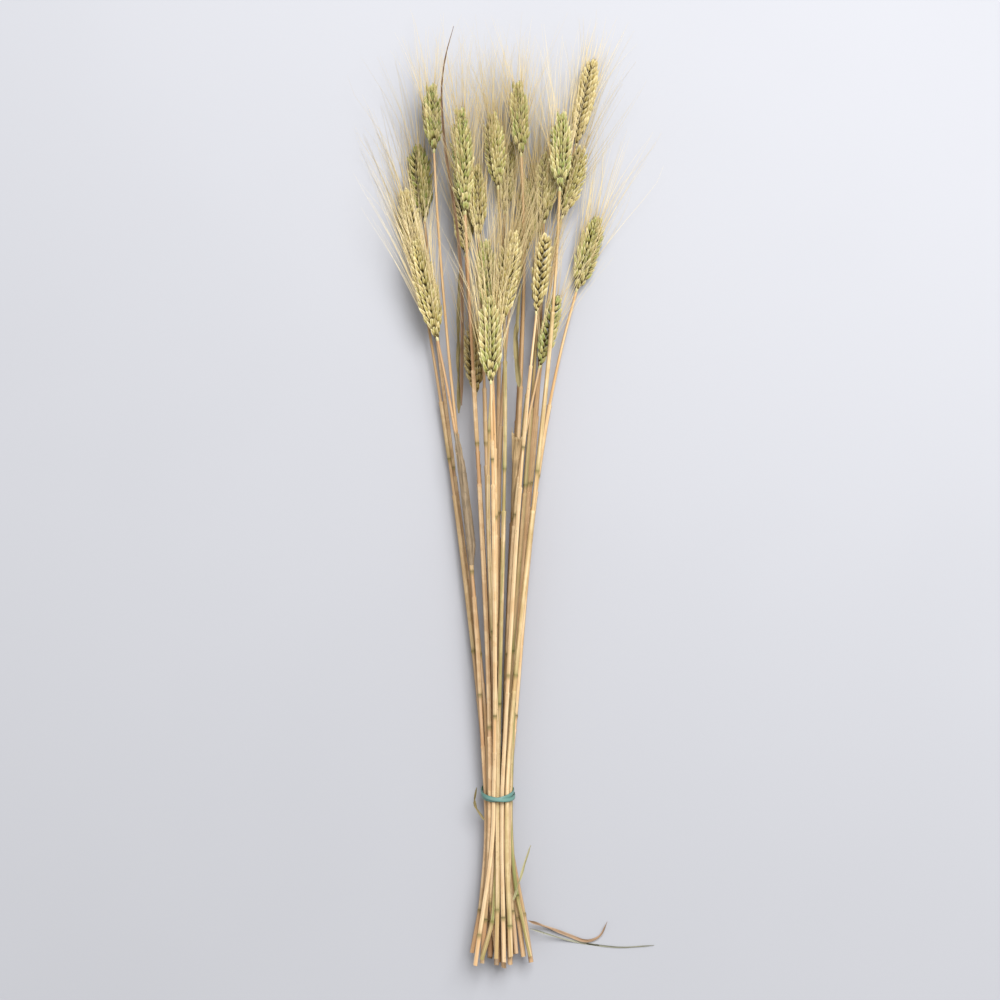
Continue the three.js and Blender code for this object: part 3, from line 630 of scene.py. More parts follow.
def ear_layout(name, settings, seed):
    """Where the husks of an ear go, and which of them bear awns. Spikelets stand on alternate sides of the ear's
    stalk at even steps. Their size and spread grow in a straight line over the ear's foot, stay level, and shrink
    in a straight line towards its tip. The last spikelet is turned a quarter round."""
    random = np.random.default_rng(seed)
    base, axis, side, row, long = ear_axes(name)
    room = long - 9 * MM
    count = int(room / settings.spacing)
    heights = 2.2 * MM + np.arange(count) * room / count
    signs = np.where(np.arange(count) % 2, -1.0, 1.0)
    share = np.arange(count) / (count - 1)
    size = np.minimum(0.74 + 2.0 * share, 1) * np.minimum(0.6 + 1.6 * (1 - share), 1)
    spread = np.minimum(0.25 + 3.4 * share, 1) * np.minimum(0.5 + 1.8 * (1 - share), 1)
    size = size * random.uniform(0.94, 1.05, count)
    kinds = len(BRACTS)
    spike = np.repeat(np.arange(count), kinds)
    kind = np.tile(np.arange(kinds), count)
    lean, aside, out, up, bract_long, wide, deep, facing, awned = BRACTS[kind].T
    fullness = EAR_TONES[name][2]
    scale = size[spike] * fullness**0.4
    sign = signs[spike]
    spread = spread[spike]
    lean = np.radians(lean * spread * fullness**0.6 + random.normal(0, 3.0, len(kind)))
    outward = settings.outward * (0.3 + 0.7 * spread) + random.normal(0, 0.045, len(kind)) - 0.05 * (kind < 2)
    directions = unit(
        axis * (np.cos(outward) * np.cos(lean))[:, None]
        + side * np.sin(lean)[:, None]
        + row * (sign * np.sin(outward))[:, None]
    )
    facing = np.radians(facing + random.normal(0, 5, len(kind)))
    backs = row * (sign * np.cos(facing))[:, None] + side * np.sin(facing)[:, None]
    roots = (
        base
        + axis * (heights[spike] + up * scale * MM)[:, None]
        + side * (aside * spread * fullness * MM)[:, None]
        + row * (sign * (out * spread + 0.3) * MM)[:, None]
    )
    scale = scale * random.uniform(0.94, 1.06, len(kind))
    sizes = np.stack([bract_long, wide, deep], 1) * scale[:, None] * MM
    bears = random.uniform(0, 1, len(kind)) < awned * EAR_TONES[name][3]
    end_out = row * np.cos(END_TURNS)[:, None] + side * np.sin(END_TURNS)[:, None]
    end_roots = base + axis * (long - 9.2 * MM) + end_out * 0.9 * MM
    end_directions = unit(axis + end_out * END_LEANS[:, None])
    total = len(roots) + len(end_roots)
    husks = {
        "roots": np.concatenate([roots, end_roots]),
        "directions": np.concatenate([directions, end_directions]),
        "backs": np.concatenate([backs, end_out]),
        "sizes": np.concatenate([sizes, END_SIZES * MM]),
        "bends": np.stack([random.uniform(0.02, 0.07, total), random.uniform(-0.02, 0.09, total)], 1),
        "tones": random.uniform(0, 1, total),
    }
    bears = np.concatenate([bears, END_AWNED])
    rise = np.concatenate([share[spike], np.ones(len(end_roots))])
    return husks, bears, rise, (base, axis, side, row, heights, signs)


def ear_surface(name, settings, seed):
    """All husks of an ear and its stalk, as one mesh."""
    husks, _, _, stalk = ear_layout(name, settings, seed)
    parts, _ = bract_surfaces(**husks)
    points, quads, triangles, attributes = join([parts, rachis_surface(*stalk)])
    points[:, 2] = held_between(points[:, 2], 0.2 * MM, cad_high.z + MOST_RISE, 0.3 * MM)
    green, dark, _, _ = EAR_TONES[name]
    attributes["green"] = np.full(len(points), green)
    attributes["dark"] = np.full(len(points), dark)
    return points, quads, triangles, attributes


def awn_surfaces(name, ears, settings, seed):
    """The awns of an ear: thin three-sided tubes that taper by a power of the distance from the tip. Each leaves
    its husk's tip, leans off the ear's axis by a flare, and bows outwards and sideways by parabolas. Its length
    ends it near the bunch's far end, and it is held above the floor, below the bunch's top and inside its width."""
    random = np.random.default_rng(seed + AWN_SEED)
    husks, bears, rise, (_, axis, side, row, _, _) = ear_layout(name, ears, seed)
    _, tips = bract_surfaces(**husks)
    tips, directions, rise = tips[bears], husks["directions"][bears], rise[bears]
    radial = square_to(directions, axis)
    swirl = unit(radial + 0.55 * random.normal(0, 1, (len(tips), 1)) * np.cross(axis, radial))
    flare = (settings.flare + random.normal(0, 0.10, len(tips))).clip(0.02, 0.5)
    long = settings.longest * (0.98 - 0.22 * rise) * random.uniform(0.62, 1.0, len(tips))
    heading = axis * np.cos(flare)[:, None] + swirl * np.sin(flare)[:, None]
    top = cad_high.y + random.uniform(-38, 3, len(tips)) * MM
    long = np.minimum(long, (top - tips[:, 1]) / heading[:, 1].clip(0.3)).clip(12 * MM)
    t = np.array([0.0, 0.1, 0.24, 0.42, 0.62, 0.82, 1.0])
    bow = random.normal(0.06, 0.09, len(tips))
    sway = random.normal(0, 0.055, len(tips))
    middles = (
        (tips - directions * 0.8 * MM)[:, None]
        + heading[:, None] * (long[:, None] * t)[..., None]
        + swirl[:, None] * (long[:, None] * bow[:, None] * t**2)[..., None]
        + np.cross(axis, swirl)[:, None] * (long[:, None] * sway[:, None] * t**2)[..., None]
    )
    middles[..., 2] = held_between(middles[..., 2], 0.4 * MM, cad_high.z + MOST_RISE, 1.5 * MM)
    middles[..., 0] = held_between(middles[..., 0], cad_low.x - MOST_REACH, cad_high.x + MOST_REACH, 6 * MM)
    turn = np.arange(3) / 3 * 2 * np.pi
    radius = settings.tip_radius + (settings.root_radius - settings.tip_radius) * (1 - t) ** 1.2
    outward = side * np.cos(turn)[:, None] + row * np.sin(turn)[:, None]
    rings = middles[:, :, None] + outward[None, None] * radius[None, :, None, None]
    points = closed_tubes(rings, middles[:, 0] - heading * 0.2 * MM, middles[:, -1] + heading * 0.3 * MM)
    quads, triangles = tube_faces(len(t), 3, len(tips))
    ones = np.ones((len(tips), len(t), 3))
    attributes = {
        "along": closed_values(ones * t[None, :, None], np.zeros(len(tips)), np.ones(len(tips))),
        "tone": np.repeat(random.uniform(0, 1, len(tips)), len(t) * 3 + 2),
        "dark": np.full(len(points), EAR_TONES[name][1]),
    }
    return points, quads, triangles, attributes


# ---------------------------------------------------------------- leaves and sheaths


def ribbon_surface(middles, across, normals, heights, thickness, tone, seed):
    """A thin closed strip. Its section is a row of points from edge to edge, each lifted along the normal by its own
    height, and back again one thickness lower, which thins to a tenth at the edges by a root of one less the sixth
    power of the share across. A point closes each end."""
    wide = heights.shape[1]
    a = np.linspace(-1, 1, wide)
    top = middles[:, None] + across[:, None] * a[None, :, None] + normals[:, None] * heights[..., None]
    edge = np.sqrt(1 - np.abs(a) ** 6) * 0.9 + 0.1
    low = top - normals[:, None] * (thickness * edge)[None, :, None]
    rings = np.concatenate([low, top[:, ::-1]], 1)
    rows, around = rings.shape[:2]
    points = closed_tubes(rings[None], rings[:1].mean(1), rings[-1:].mean(1))
    quads, triangles = tube_faces(rows, around)
    places = distances(middles)
    both = np.concatenate([a, a[::-1]])
    ones = np.ones((1, rows, around))
    zeros = np.zeros(1)
    beside = closed_values(ones * both, zeros, zeros)
    along = closed_values(ones * places[None, :, None] * 100, zeros, zeros + places[-1] * 100)
    attributes = {
        "fibre": np.stack([beside, np.full(len(points), float(seed)), along], -1),
        "edge": np.abs(beside) ** 3,
        "tone": np.full(len(points), tone),
    }
    return points, quads, triangles, attributes


def leaf_surface(name, settings, seed):
    """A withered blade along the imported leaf: it keeps that leaf's middle line and width, its edges roll up and its
    middle twists to and fro about the line. Ribs run along it as a fine wave across."""
    random = np.random.default_rng(seed)
    centres, across = strip_line(name)
    total = distances(centres)[-1]
    places = np.linspace(0, total, max(24, int(total / (2.5 * MM))))
    share = places / total
    middles = smooth_line(centres, places)
    tangents = unit(np.gradient(middles, places, axis=0))
    knots = distances(centres)
    width = np.stack([np.interp(places, knots, across[:, i]) for i in range(3)], 1)
    half = np.linalg.norm(width, axis=1) * (0.3 + 0.7 * np.minimum(ease(share / 0.06), ease((1 - share) / 0.1)))
    side = square_to(width, tangents)
    up = np.cross(side, tangents)
    up = up * np.sign(up[:, 2:3].mean())
    wander = np.interp(share, np.linspace(0, 1, 9), random.normal(0, 1, 9))
    twist = 0.75 * wander * ease(share * 4) * (1 - 0.3 * share)
    across_now = side * np.cos(twist)[:, None] + up * np.sin(twist)[:, None]
    normal = np.cross(across_now, tangents)
    normal = normal * np.sign((normal * up).sum(1, keepdims=True))
    a = np.linspace(-1, 1, 9)
    curl = 0.55 + 0.35 * np.interp(share, np.linspace(0, 1, 7), random.normal(0, 1, 7))
    roll = curl[:, None] * half[:, None]
    ribs = 0.05 * MM * np.cos(a * 3 * np.pi)
    heights = roll * (a**2 - 0.4) + ribs + 0.04 * MM * random.normal(0, 1, (len(places), 1))
    ribbon = ribbon_surface(middles, across_now * half[:, None], normal, heights, settings.thickness, 0.5, seed)
    ribbon[0][:, 2] = np.maximum(ribbon[0][:, 2], 0.15 * MM)
    return turned_outwards(ribbon)


def sheath_surface(name, settings, seed):
    """A dry sheath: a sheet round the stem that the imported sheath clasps, open along its underside. It stands off
    the straw by a distance that goes from its foot's looseness to its mouth's by a power of the height, more to
    the sides than upwards. Folds along it are a cosine of the angle, and the angle that it covers narrows towards
    the mouth. The rim is torn: its points move along the straw by random steps, and furthest down in the middle."""
    random = np.random.default_rng(seed)
    low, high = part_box(name)
    middle = np.array((low + high) / 2)
    lines = {stem: stem_line(stem)[:2] for stem in STEMS}

    def gap(stem):
        centres = lines[stem][0]
        return np.hypot(*[np.interp(middle[1], centres[:, 1], centres[:, i]) - middle[i] for i in (0, 2)])

    centres, radii = lines[min(STEMS, key=gap)]
    knots = distances(centres)
    start, stop = np.interp([low.y, high.y], centres[:, 1], knots)
    places = np.linspace(start, stop, 44)
    middles = smooth_line(centres, places)
    tangents = unit(np.gradient(middles, places, axis=0))
    side = square_to(np.array([1.0, 0.0, 0.0]), tangents)
    up = np.cross(side, tangents)
    share = (places - start) / (stop - start)
    foot, mouth, shift = (value * MM for value in SHEATH_LOOSENESS[name])
    a = np.linspace(-1, 1, 15)
    narrowing = 1 - (0.7 if mouth < foot else 0.2) * ease((share - 0.55) / 0.45)
    angle = a * 2.35 * narrowing[:, None]
    loose = (foot + (mouth - foot) * share**2.2) * ease(share / 0.15)
    radius = np.interp(places, knots, radii) + 0.5 * MM
    folds = 0.12 * MM + 0.28 * loose * ease((share - 0.3) / 0.6)
    wave = folds[:, None] * np.cos(9 * angle + 3 * np.sin(5 * share)[:, None])
    wave += 0.06 * MM * random.normal(0, 1, (len(places), 1))
    across = side[:, None] * np.sin(angle)[..., None]
    over = up[:, None] * np.cos(angle)[..., None]
    middles = middles + side * (shift * loose / max(foot, mouth))[:, None]

    def sheet(extra):
        wide = (radius + loose + extra)[:, None] + wave
        tall = (radius + 0.35 * loose + extra)[:, None] + wave
        return middles[:, None] + across * wide[..., None] + over * tall[..., None]

    inner, top = sheet(0.0), sheet(settings.thickness)
    tear = random.uniform(-3.0, 2.0, len(a)) * MM - 3 * mouth * (1 - np.abs(a - 0.15))
    for face in (top, inner):
        face += tangents[:, None] * (ease((share - 0.85) / 0.15)[:, None] * tear)[..., None]
    rings = np.concatenate([inner, top[:, ::-1]], 1)
    rows, around = rings.shape[:2]
    # Both ends are closed on the sheet itself, by a strip between its two sides.
    points = rings.reshape(-1, 3)
    quads, _ = tube_faces(rows, around)
    i = np.arange(len(a) - 1)
    back = around - 1 - i
    first = np.stack([i, i + 1, back - 1, back], -1)
    ends = np.concatenate([first[:, ::-1], first + (rows - 1) * around])
    quads = np.concatenate([quads, ends])
    both = np.tile(np.concatenate([a, a[::-1]]), rows)
    attributes = {
        "fibre": np.stack([both * 2, np.full(len(points), float(seed)), np.repeat(places * 100, around)], -1),
        "edge": np.maximum(np.abs(both) ** 3, 0.8 * np.repeat(share**14, around)),
        "tone": np.full(len(points), 0.5),
    }
    return turned_outwards((points, quads, np.zeros((0, 3), int), attributes))


# ---------------------------------------------------------------- the rubber band


def band_surface(settings):
    """One rubber ring wound twice round the stems. Round its two turns the strand shifts along the stems by a sine
    of half the turned angle and in and out by its cosine, so it lies beside itself and crosses itself once. The
    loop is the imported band's oval, and leans as that one does."""
    low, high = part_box("rubber_band")
    points, _ = node_points("rubber_band")
    middle = np.array((low + high) / 2)
    lean = np.polyfit(points[:, 2] - middle[2], points[:, 1] - middle[1], 1)[0]
    outermost = settings.lift * 2 + settings.strand_thickness
    half_x = (high.x - low.x) / 2 - outermost
    half_z = (high.z - low.z) / 2 - outermost
    rows, around = 220, 12
    half = np.arange(rows) / rows * 2 * np.pi
    turn = 2 * half + np.pi / 2
    out = settings.strand_thickness / 2 + settings.lift * (1 + np.cos(half))
    x = (half_x + out) * np.cos(turn)
    z = (half_z + out) * np.sin(turn)
    y = settings.apart * np.sin(half) + 0.25 * MM * np.sin(5 * half + 1) + lean * z
    middles = middle + np.stack([x, y, z], -1)
    tangents = unit(np.roll(middles, -1, 0) - np.roll(middles, 1, 0))
    outward = square_to(np.stack([np.cos(turn), 0 * turn, np.sin(turn)], -1), tangents)
    sideways = np.cross(tangents, outward)
    corner = np.arange(around) / around * 2 * np.pi
    flat = np.sign(np.cos(corner)) * np.abs(np.cos(corner)) ** 0.7
    broad = np.sign(np.sin(corner)) * np.abs(np.sin(corner)) ** 0.7
    pinch = 1 + 0.05 * np.sin(3 * half + 2)[:, None]
    rings = (
        middles[:, None]
        + outward[:, None] * (flat * settings.strand_thickness / 2 * pinch)[..., None]
        + sideways[:, None] * (broad * settings.strand_width / 2 / pinch)[..., None]
    )
    row, step = np.meshgrid(np.arange(rows), np.arange(around), indexing="ij")
    after, beside = (row + 1) % rows, (step + 1) % around
    row, after = row * around, after * around
    quads = np.stack([row + step, row + beside, after + beside, after + step], -1)
    fibre = np.stack([np.tile(flat, rows), np.tile(broad, rows), np.repeat(half * 10, around)], -1)
    attributes = {"fibre": fibre, "edge": np.abs(np.tile(broad, rows)) ** 4}
    return turned_outwards((rings.reshape(-1, 3), quads.reshape(-1, 4), np.zeros((0, 3), int), attributes))


# ---------------------------------------------------------------- materials

VALUE, VECTOR, COLOUR = "NodeSocketFloat", "NodeSocketVector", "NodeSocketColor"


def new_node(tree, kind, **settings):
    """A new node of a kind, with its settings."""
    node = tree.nodes.new(kind)
    for key, value in settings.items():
        setattr(node, key, value)
    return node


def set_or_link(tree, socket, value):
    """Gives an input socket a number or a colour, or links it to another node's output."""
    if isinstance(value, bpy.types.NodeSocket):
        tree.links.new(value, socket)
    elif isinstance(value, (tuple, list)) and socket.type == "RGBA":
        socket.default_value = (*value[:3], 1.0)
    else:
        socket.default_value = value


def maths(tree, operation, a, b=0.0, c=0.0, clamp=False):
    """The output of one sum."""
    node = new_node(tree, "ShaderNodeMath", operation=operation, use_clamp=clamp)
    for place, value in zip(node.inputs, (a, b, c)):
        set_or_link(tree, place, value)
    return node.outputs[0]


def mixed(tree, share, a, b, blend="MIX"):
    """Tone a with tone b blended in by a share."""
    node = new_node(tree, "ShaderNodeMix", data_type="RGBA", blend_type=blend)
    set_or_link(tree, node.inputs["Factor"], share)
    set_or_link(tree, node.inputs[6], a)
    set_or_link(tree, node.inputs[7], b)
    return node.outputs[2]


def laid_over(tree, base, mask, most, tone):
    """The base with a tone laid over it where the mask is one, and at most by a given share."""
    return mixed(tree, maths(tree, "MULTIPLY", mask, most), base, tone)


def ranged(tree, value, from_low, from_high, to_low=0.0, to_high=1.0):
    """A value carried smoothly from one range to another, and held at its ends."""
    node = new_node(tree, "ShaderNodeMapRange", interpolation_type="SMOOTHSTEP")
    set_or_link(tree, node.inputs[0], value)
    for socket, number in zip(node.inputs[1:5], (from_low, from_high, to_low, to_high)):
        set_or_link(tree, socket, number)
    return node.outputs[0]


def noise(tree, vector, scale, detail=3.0, roughness=0.55):
    """Soft noise by place."""
    node = new_node(tree, "ShaderNodeTexNoise")
    tree.links.new(vector, node.inputs["Vector"])
    set_or_link(tree, node.inputs["Scale"], scale)
    node.inputs["Detail"].default_value = detail
    node.inputs["Roughness"].default_value = roughness
    return node.outputs["Fac"]


def stretched(tree, vector, scale):
    """A place divided by a scale along each axis, so that a pattern on it is stretched."""
    node = new_node(tree, "ShaderNodeMapping", vector_type="TEXTURE")
    tree.links.new(vector, node.inputs["Vector"])
    node.inputs["Scale"].default_value = scale
    return node.outputs["Vector"]


def mask(tree, name):
    """A piece's own value by point."""
    return new_node(tree, "ShaderNodeAttribute", attribute_name=name).outputs["Fac"]


def bump(tree, height, distance):
    """Normals of a surface that rises by a height, nought to one, times a distance."""
    node = new_node(tree, "ShaderNodeBump")
    node.inputs["Distance"].default_value = distance
    tree.links.new(height, node.inputs["Height"])
    return node.outputs["Normal"]


def new_group(name, inputs, outputs):
    """An empty node group with its sockets, and the nodes inside it that give its inputs and take its outputs."""
    tree = bpy.data.node_groups.new(name, "ShaderNodeTree")
    for key, kind in inputs.items():
        tree.interface.new_socket(name=key, in_out="INPUT", socket_type=kind)
    for key, kind in outputs.items():
        tree.interface.new_socket(name=key, in_out="OUTPUT", socket_type=kind)
    return tree, new_node(tree, "NodeGroupInput").outputs, new_node(tree, "NodeGroupOutput").inputs


def fibre_group(name):
    """Streaks and longer marks that run along a plant's fibres: noise that is fine across the fibres and long along
    them, as masks and as a height."""
    inputs = {"Place": VECTOR, "Fineness": VALUE}
    tree, given, wanted = new_group(name, inputs, {"Streaks": VALUE, "Long marks": VALUE, "Height": VALUE})
    broad = noise(tree, stretched(tree, given["Place"], (1, 1, 6)), 1.6, 2.0)
    scale = new_node(tree, "ShaderNodeVectorMath", operation="SCALE")
    tree.links.new(stretched(tree, given["Place"], (1, 1, 14)), scale.inputs[0])
    tree.links.new(given["Fineness"], scale.inputs["Scale"])
    fine = noise(tree, scale.outputs[0], 1.0, 4.0, 0.6)
    both = maths(tree, "ADD", maths(tree, "MULTIPLY", broad, 0.55), maths(tree, "MULTIPLY", fine, 0.45))
    long_marks = noise(tree, stretched(tree, given["Place"], (1, 1, 3)), 2.2)
    tree.links.new(ranged(tree, both, 0.36, 0.64), wanted["Streaks"])
    tree.links.new(ranged(tree, long_marks, 0.45, 0.65), wanted["Long marks"])
    tree.links.new(fine, wanted["Height"])
    return tree


def mottling_group(name):
    """Soft blotches and small specks by place, each as a mask. The size counts blotches to the metre."""
    tree, given, wanted = new_group(name, {"Place": VECTOR, "Size": VALUE}, {"Blotches": VALUE, "Specks": VALUE})
    fine = maths(tree, "MULTIPLY", given["Size"], 5.0)
    tree.links.new(ranged(tree, noise(tree, given["Place"], given["Size"]), 0.42, 0.62), wanted["Blotches"])
    tree.links.new(ranged(tree, noise(tree, given["Place"], fine, 2.0), 0.66, 0.74), wanted["Specks"])
    return tree


def drying_group(name):
    """A tone and, by a share, the same tone multiplied by a tint, as on an ear that has dried dark."""
    inputs = {"Tone": COLOUR, "Share": VALUE, "Tint": COLOUR}
    tree, given, wanted = new_group(name, inputs, {"Dried tone": COLOUR})
    tinted = mixed(tree, 1.0, given["Tone"], given["Tint"], "MULTIPLY")
    tree.links.new(mixed(tree, given["Share"], given["Tone"], tinted), wanted["Dried tone"])
    return tree


def grouped(tree, name, make, **inputs):
    """The outputs of a node group in a material's tree. The group is made when it is first wanted."""
    node = new_node(tree, "ShaderNodeGroup", node_tree=bpy.data.node_groups.get(name) or make(name))
    for key, value in inputs.items():
        set_or_link(tree, node.inputs[key], value)
    return node.outputs


def fibres(tree, fineness):
    """Fibres that follow the piece's own "fibre" places."""
    place = new_node(tree, "ShaderNodeAttribute", attribute_name="fibre").outputs["Vector"]
    return grouped(tree, "Plant fibres", fibre_group, Place=place, Fineness=fineness)


def mottling(tree, size):
    """Mottling by place on the object."""
    place = new_node(tree, "ShaderNodeTexCoord").outputs["Object"]
    return grouped(tree, "Dry mottling", mottling_group, Place=place, Size=size)


def dried(tree, base, most, tint):
    """The base as dark as the piece's own "dark" value says."""
    share = maths(tree, "MULTIPLY", mask(tree, "dark"), most)
    return grouped(tree, "Dark drying", drying_group, Tone=base, Share=share, Tint=tint)["Dried tone"]


def new_material(name, roughness, specular):
    """A material with one shader of a given roughness and specular level."""
    material = bpy.data.materials.new(name)
    material.use_nodes = True
    tree = material.node_tree
    shader = tree.nodes["Principled BSDF"]
    shader.inputs["Roughness"].default_value = roughness
    shader.inputs["Specular IOR Level"].default_value = specular
    return material, tree, shader


def straw_material(settings):
    """Dry straw: pale and deep streaks along the stem, paler low down, brown or green on the stems that dried so,
    even under old sheaths with a dark seam, green and dark rings at the knots, orange pith in the cut ends, painted
    shade on the flanks, and brown as painted shade on the stems that lie low in the bunch."""
    material, tree, shader = new_material("Dry straw", 0.5, 0.2)
    fibre = fibres(tree, 5.0)
    marks = mottling(tree, 90.0)
    own = maths(tree, "MULTIPLY", mask(tree, "tone"), 0.45)
    streaks = maths(tree, "MULTIPLY_ADD", fibre["Streaks"], 0.75, own)
    base = mixed(tree, streaks, tuple(settings.pale), tuple(settings.deep))
    # Brown tone: real browning, and painted shade on the straws that lie low in the bunch.
    browned = maths(tree, "MULTIPLY", mask(tree, "browned"), 0.8)
    green = mask(tree, "green")
    bleached = maths(tree, "MULTIPLY", mask(tree, "bleached"), ranged(tree, streaks, 0.9, 0.1, 0.15, 0.75))
    stained = maths(tree, "MAXIMUM", browned, green)
    bleached = maths(tree, "MULTIPLY", bleached, ranged(tree, stained, 0.0, 1.0, 1.0, 0.4))
    base = mixed(tree, bleached, base, tuple(settings.bleached))
    base = mixed(tree, browned, base, tuple(settings.browned))
    sheathed = mask(tree, "sheathed")
    cover = maths(tree, "MULTIPLY", sheathed, ranged(tree, marks["Blotches"], 0.0, 1.0, 0.35, 0.8))
    base = mixed(tree, cover, base, tuple(settings.sheathed))
    base = laid_over(tree, base, mask(tree, "seam"), 0.5, tuple(settings.seam))
    green_streaks = maths(tree, "MULTIPLY", maths(tree, "MULTIPLY", green, fibre["Streaks"]), 0.9)
    greenish = maths(tree, "ADD", green_streaks, maths(tree, "MULTIPLY", mask(tree, "near_knot"), 0.45))
    greenish = maths(tree, "MULTIPLY", greenish, ranged(tree, green, 0.0, 1.0, 0.3, 1.0), clamp=True)
    base = mixed(tree, greenish, base, tuple(settings.green))
    base = laid_over(tree, base, mask(tree, "knot"), 0.62, tuple(settings.knot))
    base = laid_over(tree, base, mask(tree, "collar"), 0.85, tuple(settings.collar))
    base = laid_over(tree, base, marks["Specks"], 0.4, tuple(settings.specks))
    base = laid_over(tree, base, mask(tree, "cut"), 0.85, tuple(settings.pith))
    # Painted shade darkens each straw towards its flanks.
    base = mixed(tree, ranged(tree, mask(tree, "flank"), 0.4, 0.95, 0.0, 0.85), base, tuple(settings.flank))
    tree.links.new(base, shader.inputs["Base Color"])
    rough = ranged(tree, fibre["Height"], 0.3, 0.7, 0.48, 0.62)
    rough = maths(tree, "ADD", maths(tree, "MULTIPLY", sheathed, 0.25), rough)
    tree.links.new(rough, shader.inputs["Roughness"])
    tree.links.new(bump(tree, fibre["Height"], 0.15 * MM), shader.inputs["Normal"])
    return material


def husk_material(settings):
    """Dry husks: pale keel, edges and tip, a deeper body that is green on the ears that stayed green, painted shade at
    the foot where the husk below covers it, with fine veins along each husk."""
    material, tree, shader = new_material("Dry husk", 0.62, 0.12)
    along, tone = mask(tree, "along"), mask(tree, "tone")
    across = mask(tree, "across")
    off_keel = maths(tree, "ABSOLUTE", across)
    marks = mottling(tree, 260.0)
    veins = maths(tree, "MULTIPLY_ADD", maths(tree, "SINE", maths(tree, "MULTIPLY", across, 17.0)), 0.5, 0.5)
    keel = maths(tree, "MULTIPLY", ranged(tree, off_keel, 0.28, 0.0), 0.8)
    edge = ranged(tree, off_keel, 0.8, 1.0)
    pale = maths(tree, "MAXIMUM", maths(tree, "MAXIMUM", keel, edge), ranged(tree, along, 0.6, 1.0))
    pale = maths(tree, "ADD", pale, maths(tree, "MULTIPLY", tone, 0.35), clamp=True)
    pale = maths(tree, "MULTIPLY", pale, ranged(tree, veins, 0.0, 1.0, 0.75, 1.0))
    green = maths(tree, "MULTIPLY", mask(tree, "green"), ranged(tree, tone, 0.9, 0.3, 0.45, 1.15), clamp=True)
    body_green = maths(tree, "MULTIPLY", green, ranged(tree, marks["Blotches"], 0.0, 1.0, 0.6, 1.0))
    body = mixed(tree, body_green, tuple(settings.deep), tuple(settings.green))
    light = laid_over(tree, tuple(settings.pale), green, 0.42, tuple(settings.green))
    base = mixed(tree, pale, body, light)
    scorched = maths(tree, "MULTIPLY", ranged(tree, along, 0.84, 0.97), ranged(tree, tone, 0.4, 0.3))
    # The scorched tips of some husks are their own dark colour.
    base = laid_over(tree, base, scorched, 0.75, tuple(settings.shade))
    # Painted shade: each husk darkens towards its foot, where the husk below covers it.
    base = mixed(tree, ranged(tree, along, 0.5, 0.14, 0.0, 0.92), base, tuple(settings.shade))
    base = laid_over(tree, base, marks["Specks"], 0.5, tuple(settings.specks))
    tree.links.new(dried(tree, base, 0.55, tuple(settings.dried)), shader.inputs["Base Color"])
    tree.links.new(ranged(tree, veins, 0.0, 1.0, 0.7, 0.5), shader.inputs["Roughness"])
    tree.links.new(bump(tree, veins, 0.08 * MM), shader.inputs["Normal"])
    return material


def awn_material(settings):
    """Awns: deeper at the root and pale along most of their length, each with its own tone."""
    material, tree, shader = new_material("Dry awn", 0.45, 0.35)
    marks = mottling(tree, 60.0)
    root = ranged(tree, mask(tree, "along"), 0.3, 0.0, 0.0, 0.7)
    root = maths(tree, "ADD", root, maths(tree, "MULTIPLY", mask(tree, "tone"), 0.6), clamp=True)
    base = mixed(tree, root, tuple(settings.pale), tuple(settings.deep))
    base = laid_over(tree, base, marks["Blotches"], 0.25, tuple(settings.deep))
    tree.links.new(dried(tree, base, 0.35, tuple(settings.dried)), shader.inputs["Base Color"])
    tree.links.new(ranged(tree, marks["Blotches"], 0.0, 1.0, 0.4, 0.55), shader.inputs["Roughness"])
    return material


def leaf_material(name, tone, edge_tone, specks):
    """A withered leaf of one tone: lighter streaks, deeper marks and blotches, paler edges, specks and ribs."""
    material, tree, shader = new_material(name, 0.7, 0.25)
    fibre = fibres(tree, 7.0)
    marks = mottling(tree, 110.0)
    deep = tuple(channel * 0.5 for channel in tone)
    light = tuple(min(channel * 1.7 + 0.03, 1.0) for channel in tone)
    base = mixed(tree, fibre["Streaks"], light, tone)
    base = laid_over(tree, base, fibre["Long marks"], 0.6, deep)
    base = laid_over(tree, base, marks["Blotches"], 0.2, deep)
    base = laid_over(tree, base, mask(tree, "edge"), 0.5, edge_tone)
    base = laid_over(tree, base, marks["Specks"], 0.5, specks)
    tree.links.new(base, shader.inputs["Base Color"])
    tree.links.new(ranged(tree, fibre["Height"], 0.3, 0.7, 0.6, 0.85), shader.inputs["Roughness"])
    tree.links.new(bump(tree, fibre["Height"], 0.25 * MM), shader.inputs["Normal"])
    return material


def rubber_material(settings):
    """Elastic rubber: an even tone, paler where it is rubbed, darker at the strand's edges by painted shade, with fine
    ribs.
    """
    material, tree, shader = new_material("Green rubber", 0.42, 0.45)
    fibre = fibres(tree, 3.0)
    marks = mottling(tree, 400.0)
    teal = tuple(settings.teal)
    rubbed = tuple(channel * 0.8 + 0.09 for channel in teal)
    edge_shade = tuple(channel * 0.35 for channel in teal)
    base = laid_over(tree, teal, fibre["Streaks"], 0.5, rubbed)
    # Painted shade darkens each strand along its edges, where it lies beside the other turn.
    base = laid_over(tree, base, mask(tree, "edge"), 0.7, edge_shade)
    base = laid_over(tree, base, marks["Specks"], 0.3, rubbed)
    tree.links.new(base, shader.inputs["Base Color"])
    tree.links.new(ranged(tree, marks["Blotches"], 0.0, 1.0, 0.36, 0.5), shader.inputs["Roughness"])
    tree.links.new(bump(tree, fibre["Height"], 0.1 * MM), shader.inputs["Normal"])
    return material


# ---------------------------------------------------------------- operators


class WHEAT_OT_stems(Operator):
    """Builds each straw stem, with its knots, sheath steps and cut end"""

    bl_idname = "wheat.stems"
    bl_label = "Stems"

    def execute(self, context):
        settings = context.scene.wheat_straw
        material = straw_material(settings)
        for number, name in enumerate(STEMS):
            surface = turned_outwards(stem_surface(name, settings, number))
            make_piece(f"straw_{name}", *surface, material, name, "straw_stem")
        return {"FINISHED"}


